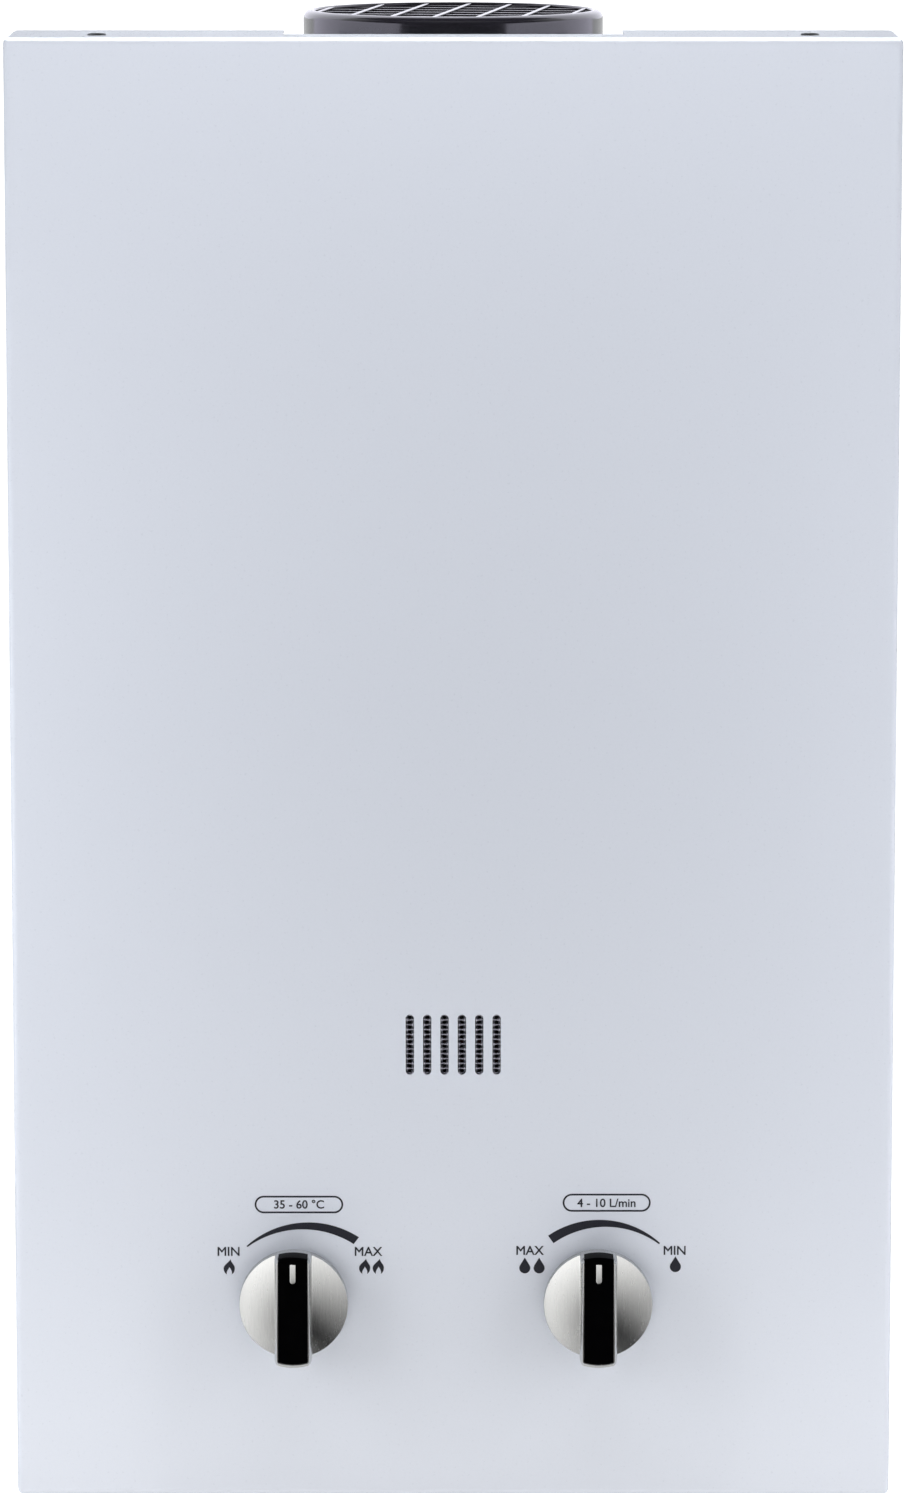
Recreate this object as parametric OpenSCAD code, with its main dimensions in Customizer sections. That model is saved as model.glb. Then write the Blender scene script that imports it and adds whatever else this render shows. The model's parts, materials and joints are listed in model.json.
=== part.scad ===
// Wall-hung tankless gas water heater, built as an assembly of separate pieces.
// X runs to the right, Y from the front panel to the wall and Z up, in millimetres.
// The origin is the middle of the wall face of the casing.

/* [Casing] */
// Outer width of the front cover
body_w = 330; // [310:1:360]
// Outer height of the front cover
body_h = 550; // [540:1:620]
// Depth from the wall to the front panel
body_d = 160; // [156:1:190]
// Thickness of the casing sheet
sheet = 0.8; // [0.6:0.1:1.2]
// Outer radius of the cover's bends
bend_r = 3; // [2:0.5:5]
// Depth of the cover's top and side returns
cover_return = 46; // [40:1:60]
// Drop of the roof and floor inside the cover's outline
panel_drop = 8; // [6:0.5:12]
// Gap between nested sheets
nest_gap = 0.4; // [0.2:0.1:0.8]
// Width of the stiffening lips
lip = 10; // [6:1:14]
// Distance of the cover screws from the middle
cover_screw_x = 131; // [100:1:145]
// Shank radius of the cover screws
cover_screw_r = 2; // [1.5:0.1:2.5]
// Shank length of the cover screws
cover_screw_len = 6; // [4:0.5:7]
// Width of the air slots in the floor
air_slot_w = 3.4; // [2:0.1:3.8]
// Length of the air slots in the floor
air_slot_len = 26; // [14:1:30]
// Number of air slots in the floor
air_slot_n = 15; // [8:1:18]

/* [Wall fixing] */
// Radius of the wall screw holes
wall_hole_r = 3.5; // [2.5:0.1:5]
// Distance between the wall screw holes, across
wall_hole_dx = 220; // [160:1:260]
// Distance between the wall screw holes, upright
wall_hole_dz = 470; // [400:1:500]

/* [Sight window] */
// Number of sight slots
slot_n = 6; // [3:1:10]
// Width of a slot
slot_w = 3.1; // [2:0.1:5]
// Length of a slot
slot_h = 23; // [16:0.5:30]
// Distance from slot to slot
slot_pitch = 6.5; // [5:0.1:9]
// Height of the window's middle above the cover's lower edge
slot_rise = 174; // [166:1:190]
// Thickness of the mesh behind the slots
mesh_t = 0.8; // [0.5:0.1:1.5]
// Radius of a mesh hole
mesh_hole_r = 0.6; // [0.4:0.05:0.7]
// Distance from mesh hole to mesh hole
mesh_pitch = 1.8; // [1.6:0.1:3]
// Rim of the mesh round the slots
mesh_rim = 6; // [3:0.5:10]

/* [Flue] */
// Outer radius of the flue collar
collar_r = 56.5; // [50:0.5:60]
// Wall of the flue collar
collar_wall = 2.6; // [2:0.1:4]
// Height of the collar above the cover
collar_rise = 6; // [4:0.5:14]
// Rounding of the collar's upper edge
collar_round = 1.6; // [0.5:0.1:1.8]
// Width of the collar's foot
collar_foot = 5; // [3:0.5:8]
// Thickness of the collar's foot
collar_foot_t = 1.2; // [0.8:0.1:2]
// Gap between the collar and the cover's notch, in front
notch_front = 4; // [2.5:0.5:6]
// Gap between the collar and the cover's notch, at the sides
notch_side = 6.5; // [3:0.5:10]
// Width of a grille bar
grille_bar = 3; // [1.5:0.1:4]
// Height of the grille
grille_t = 2.2; // [1.5:0.1:3]
// Distance between the grille's long bars
grille_pitch = 16; // [10:0.5:24]
// Distance between the grille's cross bars
grille_cross = 16; // [14:0.5:30]
// Turn of the grille
grille_turn = 10; // [0:1:45]
// Width of the ledge under the grille
grille_ledge = 0.8; // [0.5:0.1:1.5]

/* [Knobs] */
// Distance of the gas knob from the casing's left side
gas_x = 105; // [95:0.5:113]
// Place of the water knob, from the middle
water_x = 54.5; // [48:0.5:60]
// Height of the knobs above the cover's lower edge
knob_rise = 75.5; // [70:0.5:80]
// Radius of the knob's skirt
knob_r = 20.5; // [17:0.5:24]
// Gap between the knob and the panel
knob_gap = 1.6; // [1:0.1:3]
// Height of the skirt's edge
skirt_h = 4.5; // [3:0.1:6]
// Height of the skirt's dome
dome_h = 8; // [6.5:0.1:11]
// Height of the knob's grip bar
knob_h = 18; // [15:0.5:26]
// Width of the grip bar
grip_w = 14; // [11:0.5:16]
// End radius of the grip bar
grip_r = 21.2; // [18:0.2:24]
// Width of the black insert
insert_w = 11; // [8:0.2:12]
// Thickness of the black insert
insert_t = 1; // [0.6:0.1:1.6]
// Depth that the insert wraps over the grip's end
insert_wrap = 9.5; // [4:0.5:10]
// Margin of the insert at the grip's lower end
insert_margin = 1.4; // [0.8:0.1:3]
// Width of the pointer
pointer_w = 2.2; // [1.4:0.1:3]
// Length of the pointer
pointer_len = 7.4; // [5:0.1:10]
// Distance of the pointer from the grip's end
pointer_margin = 2.5; // [2:0.1:6]
// Depth that the pointer is set into the insert
pointer_sink = 0.5; // [0.3:0.1:0.5]
// Height of the pointer above the insert
pointer_proud = 0.3; // [0.1:0.1:0.6]
// Wall of the knob
knob_wall = 2; // [1.4:0.1:3]
// Radius of the knob's hub
hub_r = 5.5; // [4.6:0.1:7]
// Radius of the spindles
spindle_r = 3; // [2.5:0.1:4]
// Depth of the flat on the spindles
spindle_flat = 1; // [0.5:0.1:1.5]
// Length of the spindles inside the knobs
spindle_grip = 12; // [8:0.5:14]
// Radius of the holes in the cover for the spindles
knob_hole_r = 8; // [6:0.5:12]

/* [Heat exchanger] */
// Width of the combustion chamber
chamber_w = 206; // [190:1:212]
// Depth of the combustion chamber
chamber_dp = 112; // [104:1:114]
// Height of the combustion chamber
chamber_h = 242; // [220:1:260]
// Height of the chamber's mouth above the middle of the sight window, downward
chamber_drop = 12; // [8:0.5:16]
// Number of fins
fin_n = 14; // [8:1:20]
// Thickness of a fin
fin_t = 0.6; // [0.4:0.1:1]
// Height of the fins
fin_h = 56; // [44:1:64]
// Distance from the chamber's top to the tubes
tube_drop = 32; // [30:1:36]
// Radius of the exchanger tube
tube_r = 9; // [7:0.5:10]
// Distance between the tube's runs
tube_pitch = 30; // [26:1:32]
// Radius of the water pipes
pipe_r = 7; // [6:0.5:7]
// Bending radius of the water pipes
pipe_bend = 12; // [9:0.5:14]
// Rise of the coil at each side of the chamber
coil_step = 9; // [8:0.5:10]
// Distance from the chamber's mouth to the coil
coil_rise = 48; // [40:1:56]
// Gap between fixed round parts
seat_gap = 0.15; // [0.05:0.05:0.3]
// Radius of the thermal cut-out
cutout_r = 8; // [6:0.5:10]
// Thickness of the hood's gasket
gasket_t = 2; // [1:0.1:3]
// Width of the hood's gasket
gasket_w = 6; // [4:0.5:10]
// Height of the hood's straight skirt
hood_skirt = 60; // [40:1:70]
// Height of the draft opening in the hood
hood_slot = 18; // [8:1:24]
// Depth of the hood's neck in the flue collar
hood_neck = 7; // [4:0.5:8]
// Width of a chamber bracket
bracket_w = 30; // [20:1:40]

/* [Burner] */
// Number of burner bars
burner_n = 9; // [7:1:9]
// Distance between the burner bars
burner_pitch = 20; // [16:0.5:21]
// Width of a burner bar
burner_w = 10; // [8:0.5:12]
// Length of a burner bar
burner_len = 98; // [80:1:100]
// Distance from the sight window's middle down to the burner's top
burner_drop = 22; // [21:0.5:26]
// Radius of a burner's mixing tube
mixer_r = 3.8; // [3:0.1:4]
// Width of the manifold
manifold_w = 12; // [11:0.5:12]
// Height of the manifold
manifold_h = 14; // [12:0.5:16]
// Radius of the manifold's bores
manifold_bore = 4; // [3:0.1:4.5]
// Radius of a gas jet
jet_r = 3; // [2.4:0.1:3.4]
// Bore of a gas jet
jet_bore = 0.9; // [0.6:0.05:1.2]
// Distance from the manifold to the burner's mouth
jet_reach = 5.4; // [5:0.1:8]
// Radius of an electrode's ceramic
ceramic_r = 2.8; // [2:0.1:2.8]
// Distance of the electrodes from the middle
electrode_x = 30; // [22:1:38]
// Length of an electrode's tip
electrode_tip = 12; // [8:0.5:20]

/* [Gas valve] */
// Distance of the valves behind the step in the floor
valve_setback = 62.7; // [62:0.1:66]
// Half the width of the gas block
gas_hw = 26; // [24:0.5:27]
// Half the height of the gas block
gas_hh = 22; // [19:0.5:22]
// Length of the gas block in front of the plunger
gas_front = 40; // [38:0.5:42]
// Length of the gas block behind the plunger
gas_back = 14; // [12:0.5:18]
// Radius of the gas cock
cock_r = 9; // [7:0.5:10]
// Length of the gas cock
cock_len = 20; // [16:0.5:22]
// Radius of the plunger's bore
plunger_bore = 10; // [8:0.5:10]
// Thickness of the valve seat
seat_t = 3; // [2:0.5:4]
// Bore of the valve seat
seat_bore = 5; // [3.5:0.1:6]
// Radius of the plunger's stem and of the push rod
rod_r = 3; // [2.4:0.1:3.5]
// Thickness of the plunger's disc
disc_t = 3; // [2:0.1:4]
// Depth of the plunger guide in the block
guide_len = 12; // [9:0.5:13]
// Thickness of the plunger guide's hexagon
guide_hex = 4; // [3:0.5:5]
// Clearance of running fits
run_gap = 0.06; // [0.03:0.01:0.1]
// Radius of the solenoid
sol_r = 14; // [12:0.5:15]
// Length of the solenoid
sol_len = 36; // [32:1:38]
// Radius of the solenoid's plunger
sol_core = 4; // [3:0.1:5]
// Stroke of the solenoid's plunger
sol_stroke = 3; // [2:0.1:3.5]
// Radius of the pipe threads
thread_r = 10.48; // [8:0.02:13]
// Free length of the pipe threads
thread_len = 14.5; // [12:0.5:20]
// Bore of the nipples
nipple_bore = 6.5; // [5:0.1:7]
// Height of the nuts
nut_h = 6; // [4:0.5:8]
// Radius of the nuts' corners
nut_r = 15.6; // [15.2:0.1:16]
// Thickness of the nuts' washers
washer_t = 1.5; // [1:0.1:2]
// Side of a bonnet plate
bonnet_side = 32; // [28:0.5:36]
// Thickness of a bonnet plate
bonnet_t = 4; // [3:0.5:5]
// Radius of a bonnet's neck
neck_r = 7; // [5.5:0.5:7]
// Length of a bonnet's neck
neck_len = 8; // [5:0.5:12]

/* [Water valve] */
// Radius of the diaphragm housing
housing_r = 32; // [31:0.5:33]
// Radius of the diaphragm's chamber
dia_r = 24; // [20:0.5:24.5]
// Thickness of the diaphragm
dia_t = 1.5; // [1:0.1:2]
// Stroke of the diaphragm
stroke = 4; // [3:0.1:4.5]
// Thickness of the housing's flange
flange_t = 8; // [7:0.5:9]
// Depth of the diaphragm cover
cap_dp = 13; // [12:0.5:14]
// Wall of the diaphragm cover
cap_wall = 3.5; // [3:0.1:4]
// Radius of the screws round the diaphragm
cap_screw_r = 2; // [1.5:0.1:2]
// Distance from the water spindle to the diaphragm
dia_dx = 16; // [15:0.5:17]
// Width of the water block to the right of the spindle
block_right = 28; // [26:0.5:32]
// Length of the water block in front of the inlet
block_front = 36; // [34:0.5:38]
// Length of the water block behind the inlet
block_back = 18; // [14:0.5:20]
// Half the height of the water block
block_hh = 23; // [20:0.5:24]
// Radius of the water needle
needle_r = 6; // [5:0.1:6.5]
// Length of the needle's cone
needle_cone = 6; // [4:0.5:8]
// Length of the spindle's head
head_len = 8; // [6:0.5:9]
// Thickness of the spindle's tongue
tongue_t = 2; // [1.5:0.1:2.5]
// Length of the spindle's tongue
tongue_len = 6; // [4:0.5:7]
// Travel of the needle to each side
needle_travel = 1; // [0.6:0.1:1.2]
// Distance from the water spindle to the cold inlet
inlet_dx = 12; // [10:0.5:13]
// Radius of the drain plug
drain_r = 5; // [4:0.5:5]
// Radius of the drain plug's head
drain_head = 8; // [6:0.5:8.5]
// Distance of the hot pipe from the chamber's side
hot_x = 25; // [24:0.5:31]

/* [Switch] */
// Thickness of the valve bridge
bridge_t = 1.6; // [1:0.1:2.5]
// Half the height of the valve bridge
bridge_hh = 18; // [14.5:0.5:19]
// Radius of the collar on the push rod
ring_r = 6; // [5:0.2:6.5]
// Width of the collar on the push rod
ring_w = 4; // [3:0.5:6]
// Height of the lever's pivot above the rod
pivot_rise = 13; // [12.5:0.1:14]
// Radius of the lever's pivot
pivot_r = 1; // [0.8:0.1:1.3]
// Thickness of the switch lever
lever_t = 1.6; // [1.2:0.1:2]
// Width of the switch lever
lever_w = 5; // [3:0.5:6]
// Gap between the lever and the collar
lever_gap = 0.4; // [0.3:0.1:0.6]

/* [Electrics] */
// Radius of a battery cell
cell_r = 16.3; // [14:0.1:16.6]
// Length of a battery cell
cell_len = 61; // [48:0.5:61.5]
// Gap round a battery cell
cell_gap = 0.6; // [0.3:0.1:0.8]
// Wall of the battery box
box_wall = 1.4; // [1:0.1:1.8]
// Thickness of the battery lid
lid_t = 2.4; // [1.8:0.1:3]
// Overlap of the lid round the battery opening
lid_rim = 2; // [1:0.1:2.4]
// Height of the lid's springs
lid_spring = 4; // [3:0.1:5]
// Radius of the lid's knuckle
knuckle_r = 2.2; // [2:0.1:2.4]
// Radius of the lid's pivots
lid_pin_r = 1.4; // [1:0.1:1.6]
// Width of the igniter module
igniter_w = 30; // [20:1:32]
// Depth of the igniter module
igniter_dp = 40; // [30:1:44]
// Height of the igniter module
igniter_h = 80; // [60:1:90]
// Radius of the leads
lead_r = 1.5; // [1:0.1:2]

/* [Hidden] */
$fn = 40;
eps = 0.01;

front_y = -body_d;
top_z = body_h / 2;
bottom_z = -top_z;
shell_x = body_w / 2 - sheet - nest_gap;
gas_mid = gas_x - body_w / 2;
shell_in_x = shell_x - sheet;
roof_z = top_z - panel_drop;
floor_z = -roof_z;
floor_in_z = floor_z + sheet;
flue_y = -body_d / 2;
foot_r = collar_r + collar_foot;
riser_y = flue_y - foot_r - 3 * nest_gap;
shelf_y = front_y + sheet + bend_r + nest_gap;
shelf_x = body_w / 2 - sheet - bend_r;
cover_screw_y = (shelf_y + riser_y) / 2;
cover_screw_hole = cover_screw_r + seat_gap;
notch_y = flue_y - collar_r - notch_front;
shell_front_y = shelf_y + lip / 2;
slot_z = bottom_z + slot_rise;
mesh_w = slot_pitch * (slot_n - 1) + slot_w + 2 * mesh_rim;
mesh_y = front_y + sheet;
mesh_rows = floor((slot_h - 2 * mesh_hole_r) / mesh_pitch) - 1;

collar_z = top_z + collar_rise;
collar_in_r = collar_r - collar_wall;
neck_out_r = collar_in_r - seat_gap;
roof_hole_r = neck_out_r + seat_gap;
grille_r = collar_in_r + grille_ledge - seat_gap;

knob_z = bottom_z + knob_rise;
dome_r = (knob_r * knob_r + pow(dome_h - skirt_h, 2)) / (2 * (dome_h - skirt_h));
insert_top = knob_gap + knob_h;
insert_base = insert_top - insert_t;
grip_z = knob_gap + skirt_h - knob_wall / 2;

chamber_z = slot_z - chamber_drop;
chamber_top = chamber_z + chamber_h;
chamber_front = flue_y - chamber_dp / 2;
chamber_back = flue_y + chamber_dp / 2;
tube_z = chamber_top - tube_drop;
tube_y0 = flue_y - tube_pitch;
tube_y1 = flue_y + tube_pitch;
fin_w = chamber_dp - 2 * sheet - 2 * nest_gap;
fin_pitch = (chamber_w - 20) / (fin_n - 1);
hood_z = chamber_top + gasket_t;
hot_mid = chamber_w / 2 + hot_x;

burner_top = slot_z - burner_drop;
burner_z = knob_z + housing_r + 3;
burner_front = chamber_front + 6;
mixer_z = burner_z + 8;
jet_y = burner_front - jet_reach;
manifold_y = jet_y - manifold_w / 2;
manifold_z = mixer_z;
electrode_z = (burner_top + chamber_z) / 2 + 1.5;
electrode_front = manifold_y;
lead_y = (electrode_front + mesh_y) / 2;

valve_y = riser_y + valve_setback;
cock_y = valve_y - gas_front;
gas_seat_x = gas_mid - gas_hw + 14.5 + seat_t;
gas_in_x = gas_mid - gas_hw + 7.25;
gas_out_y = cock_y + cock_len / 2;
arm_z = knob_z + gas_hh + 5;
guide_x = gas_mid + gas_hw - guide_len;
stem_x = gas_mid + gas_hw + guide_hex + stroke;
sol_x = gas_mid - gas_hw;
nipple_top_gas = knob_z - gas_hh;
shank_r = thread_r - 0.2;
thread_z = floor_z - washer_t - nut_h;
nipple_end = thread_z - thread_len;

dia_x = water_x - dia_dx;
cap_x = dia_x - dia_t - cap_dp;
block_x = dia_x + flange_t;
cold_x = water_x + inlet_dx;
spindle_y = valve_y - block_front;
needle_y = spindle_y + head_len + 2 * needle_travel;
needle_seat_y = valve_y - 4;
cold_out_y = valve_y - 14;
drain_x = water_x + 4;
drain_y = valve_y - 26;
cap_ring_r = (housing_r + dia_r) / 2;
cap_screw_hole = cap_screw_r + seat_gap;
plate_r = dia_r - 4;

bridge_x0 = gas_mid + gas_hw;
bridge_y = valve_y + plunger_bore + 10;
lever_x = (bridge_x0 + cap_x) / 2 - 2;
ring_x = lever_x + lever_t / 2 + lever_gap;
pivot_z = knob_z + pivot_rise;
lever_y = valve_y - lever_w / 2;

bay_w = 4 * cell_r + 3 * cell_gap;
bay_dp = 2 * cell_r + 2 * cell_gap;
box_x = -shell_in_x + 2 + lid_rim + box_wall + bay_w / 2;
box_y = valve_y - sol_r - 4 - box_wall - bay_dp / 2;
cell_z = floor_z + lid_spring;
cell_dx = cell_r + cell_gap / 2;
box_top = cell_z + cell_len + 2 + box_wall;
hinge_y = box_y - bay_dp / 2 - lid_rim - knuckle_r;
hinge_z = floor_z - knuckle_r - nest_gap;
lid_z = floor_z - nest_gap - lid_t;
lid_x0 = box_x - bay_w / 2 - lid_rim;
lid_x1 = box_x + bay_w / 2 + lid_rim;
igniter_x = -shell_in_x;
igniter_y = valve_y + 20;
igniter_z = chamber_z - 30;

coil_gap = (pipe_r + nest_gap + pipe_bend * (sqrt(2) - 1)) / sqrt(2);
coil_x = chamber_w / 2 + coil_gap;
coil_y0 = chamber_front - coil_gap;
coil_y1 = chamber_back + coil_gap;
coil_z = chamber_z + coil_rise;

// Piece to show

// A box from one corner to the opposite one
module block(a, b) {
    translate(a) cube(b - a);
}

// A cylinder along X, Y or Z from one end to the other
module rod_x(x0, x1, y, z, r) {
    translate([x0, y, z]) rotate([0, 90, 0]) cylinder(h = x1 - x0, r = r);
}

module rod_y(y0, y1, x, z, r) {
    translate([x, y1, z]) rotate([90, 0, 0]) cylinder(h = y1 - y0, r = r);
}

module rod_z(z0, z1, x, y, r) {
    translate([x, y, z0]) cylinder(h = z1 - z0, r = r);
}

// A flat shape with rounded corners on its lower edge
module rounded_edge(w, h, r) {
    translate([-w / 2, r]) square([w, h - r]);
    translate([r - w / 2, 0]) square([w - 2 * r, r + eps]);
    for (side = [-1, 1]) translate([side * (w / 2 - r), r]) circle(r);
}

// A flat rectangle with four rounded corners
module rounded_face(w, h, r) {
    square([w, h - 2 * r], center = true);
    square([w - 2 * r, h], center = true);
    for (i = [-1, 1], j = [-1, 1]) translate([i * (w / 2 - r), j * (h / 2 - r)]) circle(r);
}

// The space of a folded tray, open to the back
module tray(w, h, y0, dp, r) {
    translate([0, y0, 0]) intersection() {
        translate([0, 0, -h / 2]) linear_extrude(h) rounded_edge(w, dp, r);
        translate([-w / 2, 0, 0]) rotate([90, 0, 90]) linear_extrude(w) rotate(-90) rounded_edge(h, dp, r);
        translate([0, dp, 0]) rotate([90, 0, 0]) linear_extrude(dp) rounded_face(w, h, r);
    }
}

// The points of a bend of radius r at corner b between a and c
function unit(v) = v / norm(v);
function bend(a, b, c, r, n) =
    let (u = unit(a - b), v = unit(c - b), half = acos(u * v) / 2, turn = 180 - 2 * half)
    let (mid = b + unit(u + v) * r / sin(half), from = b + u * r / tan(half))
    let (p = unit(from - mid), q = unit(u * -1))
    [for (i = [0 : n]) mid + r * (cos(turn * i / n) * p + sin(turn * i / n) * q)];

// A route with its corners rounded
function rounded_route(p, r, n) = concat(
    [p[0]],
    [for (i = [1 : len(p) - 2]) each bend(p[i - 1], p[i], p[i + 1], r, n)],
    [p[len(p) - 1]]
);

function heading(p, i) =
    let (last = len(p) - 1)
    unit(p[min(i + 1, last)] - p[min(max(i - 1, 0), last - 1)]);
function across(t) = abs(t.z) < 0.9 ? unit(cross(t, [0, 0, 1])) : unit(cross(t, [1, 0, 0]));
function carried(n, t) = unit(n - (n * t) * t);
function sides_of(p) = [
    for (i = 0, n = across(heading(p, 0)); i < len(p); i = i + 1, n = carried(n, heading(p, i)))
        n
];

// A round bar swept along a route
module sweep(p, r, sides) {
    normals = sides_of(p);
    last = len(p) - 1;
    points = [
        for (i = [0 : last], k = [0 : sides - 1])
            let (side = cross(heading(p, i), normals[i]), a = 360 * k / sides)
            p[i] + r * (cos(a) * normals[i] + sin(a) * side)
    ];
    wall = [
        for (i = [0 : last - 1], k = [0 : sides - 1])
            let (a = i * sides + k, b = i * sides + (k + 1) % sides)
            each [[a, a + sides, b + sides], [a, b + sides, b]]
    ];
    head = [for (k = [1 : sides - 2]) [0, k, k + 1]];
    tail = [for (k = [1 : sides - 2]) [last * sides, last * sides + k + 1, last * sides + k]];
    polyhedron(points, concat(wall, head, tail));
}

// Places a knob piece: its own Z points away from the panel and its Y points up
module at_knob(x) {
    translate([x, front_y, knob_z]) rotate([90, 0, 0]) children();
}

function burner_x(i) = (i - (burner_n - 1) / 2) * burner_pitch;

module slot_cut(x) {
    rise = slot_h / 2 - slot_w / 2;
    block([x - slot_w / 2, front_y - 1, slot_z - rise], [x + slot_w / 2, mesh_y + 1, slot_z + rise]);
    for (side = [-1, 1]) rod_y(front_y - 1, mesh_y + 1, x, slot_z + side * rise, slot_w / 2);
}

module front_cover() color("white") difference() {
    tray(body_w, body_h, front_y, cover_return, bend_r);
    tray(body_w - 2 * sheet, body_h - 2 * sheet, front_y + sheet, cover_return, bend_r - sheet);
    block([-collar_r - notch_side, notch_y, 0], [collar_r + notch_side, 0, top_z + 1]);
    block([-body_w / 2 + bend_r, riser_y + nest_gap, -top_z - 1], [body_w / 2 - bend_r, 0, 0]);
    for (i = [0 : slot_n - 1]) slot_cut((i - (slot_n - 1) / 2) * slot_pitch);
    for (x = [gas_mid, water_x]) rod_y(front_y - 1, mesh_y + 1, x, knob_z, knob_hole_r);
    for (x = [-cover_screw_x, cover_screw_x])
        rod_z(-top_z - 1, top_z + 1, x, cover_screw_y, cover_screw_hole);
}

module back_shell() color("gainsboro") difference() {
    union() {
        translate([0, 0, -roof_z]) linear_extrude(2 * roof_z) difference() {
            mirror([0, 1]) rounded_edge(2 * shell_x, -shell_front_y, bend_r);
            translate([0, -sheet]) mirror([0, 1])
                rounded_edge(2 * shell_in_x, -shell_front_y, bend_r - sheet);
        }
        for (side = [0, 1]) mirror([side, 0, 0])
            block(
                [shell_in_x - lip, shell_front_y, sheet - roof_z],
                [shell_x - sheet / 2, shell_front_y + sheet, roof_z - sheet]
            );
    }
    for (i = [-1, 1], j = [-1, 1])
        rod_y(-sheet - 1, 1, i * wall_hole_dx / 2, j * wall_hole_dz / 2, wall_hole_r);
}

// The folded section shared by the roof and the floor, with its side flanges
module folded_panel() {
    translate([-shelf_x, 0, 0]) rotate([90, 0, 90]) linear_extrude(2 * shelf_x) polygon([
        [shelf_y, top_z - 2 * sheet],
        [shelf_y, top_z - sheet],
        [riser_y, top_z - sheet],
        [riser_y, roof_z - sheet / 2],
        [riser_y - sheet, roof_z - sheet / 2],
        [riser_y - sheet, top_z - 2 * sheet]
    ]);
    block([-shell_in_x, riser_y - sheet, roof_z - sheet], [shell_in_x, -bend_r, roof_z]);
    for (side = [0, 1]) mirror([side, 0, 0])
        block([shell_in_x - sheet, riser_y, roof_z - lip], [shell_in_x, -bend_r, roof_z - sheet / 2]);
    block([bend_r - shell_in_x, -bend_r - eps, roof_z - sheet], [shell_in_x - bend_r, -sheet, roof_z]);
    block(
        [bend_r - shell_in_x, -2 * sheet, roof_z - lip],
        [shell_in_x - bend_r, -sheet, roof_z - sheet / 2]
    );
}

module cover_screw_cuts(z) {
    for (x = [-cover_screw_x, cover_screw_x])
        rod_z(z, z + 2 * panel_drop, x, cover_screw_y, cover_screw_hole);
}

module roof_panel() color("gainsboro") difference() {
    folded_panel();
    rod_z(roof_z - 2 * lip, roof_z + 1, 0, flue_y, roof_hole_r);
    cover_screw_cuts(top_z - panel_drop);
}

module floor_panel() color("gainsboro") difference() {
    union() {
        mirror([0, 0, 1]) folded_panel();
        for (x = [lid_x0 - sheet - nest_gap, lid_x1 + nest_gap])
            block(
                [x, hinge_y - knuckle_r, hinge_z - knuckle_r],
                [x + sheet, hinge_y + knuckle_r, floor_z + sheet / 2]
            );
    }
    cover_screw_cuts(-top_z - panel_drop);
    for (x = [gas_in_x, cold_x, hot_mid])
        rod_z(floor_z - 1, floor_in_z + 1, x, valve_y, shank_r + 2 * seat_gap);
    rod_z(floor_z - 1, floor_in_z + 1, drain_x, drain_y, drain_r + 2 * seat_gap);
    block(
        [box_x - bay_w / 2, box_y - bay_dp / 2, floor_z - 1],
        [box_x + bay_w / 2, box_y + bay_dp / 2, floor_in_z + 1]
    );
    rod_x(lid_x0 - 5, lid_x1 + 5, hinge_y, hinge_z, lid_pin_r + run_gap);
    for (i = [0 : air_slot_n - 1])
        translate([(i - (air_slot_n - 1) / 2) * 4 * air_slot_w, -2 * lip - air_slot_len / 2, floor_z])
            cube([air_slot_w, air_slot_len, 4 * sheet], center = true);
}

module cover_screw() {
    translate([0, 0, -cover_screw_len]) cylinder(h = cover_screw_len + eps, r = cover_screw_r);
    cylinder(h = 0.7, r = 1.7 * cover_screw_r);
}

module cover_screws() color("dimgray") {
    for (x = [-cover_screw_x, cover_screw_x], side = [0, 1])
        mirror([0, 0, side]) translate([x, cover_screw_y, top_z]) cover_screw();
}

module sight_mesh() color("dimgray") difference() {
    block(
        [-mesh_w / 2, mesh_y, slot_z - slot_h / 2 - mesh_rim],
        [mesh_w / 2, mesh_y + mesh_t, slot_z + slot_h / 2 + mesh_rim]
    );
    for (i = [0 : slot_n - 1], j = [0 : mesh_rows - 1], side = [-1, 1])
        rod_y(
            mesh_y - 1, mesh_y + mesh_t + 1,
            (i - (slot_n - 1) / 2) * slot_pitch + side * mesh_pitch / 2.4,
            slot_z + (j - (mesh_rows - 1) / 2 + side / 4) * mesh_pitch,
            mesh_hole_r
        );
}

module flue_collar() color("black") translate([0, flue_y, 0]) difference() {
    rotate_extrude() {
        translate([0, roof_z]) square([foot_r, collar_foot_t]);
        translate([0, roof_z]) square([collar_r, collar_z - collar_round - roof_z]);
        translate([0, roof_z]) square([collar_r - collar_round, collar_z - roof_z]);
        translate([collar_r - collar_round, collar_z - collar_round]) circle(collar_round);
    }
    translate([0, 0, roof_z - 1]) cylinder(h = collar_z - roof_z + 2, r = collar_in_r);
    translate([0, 0, collar_z - grille_t]) cylinder(h = grille_t + 1, r = collar_in_r + grille_ledge);
}

// One flat bar of the grille, cut to the rim's inside
module grille_strip(offset, z, turn) {
    strip_h = grille_t / 2 - eps;
    intersection() {
        translate([0, 0, z]) cylinder(h = strip_h, r = grille_r);
        rotate(turn - grille_turn) translate([offset - grille_bar / 2, -grille_r, z])
            cube([grille_bar, 2 * grille_r, strip_h]);
    }
}

module flue_grille() color("black") translate([0, flue_y, collar_z - grille_t]) {
    reach = grille_r - 2 * grille_bar;
    long_n = floor(reach / grille_pitch);
    cross_n = floor(reach / grille_cross);
    for (i = [-long_n : long_n]) grille_strip(i * grille_pitch, grille_t / 2, 0);
    for (i = [-cross_n : cross_n]) grille_strip(i * grille_cross, 0, 90);
}

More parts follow.
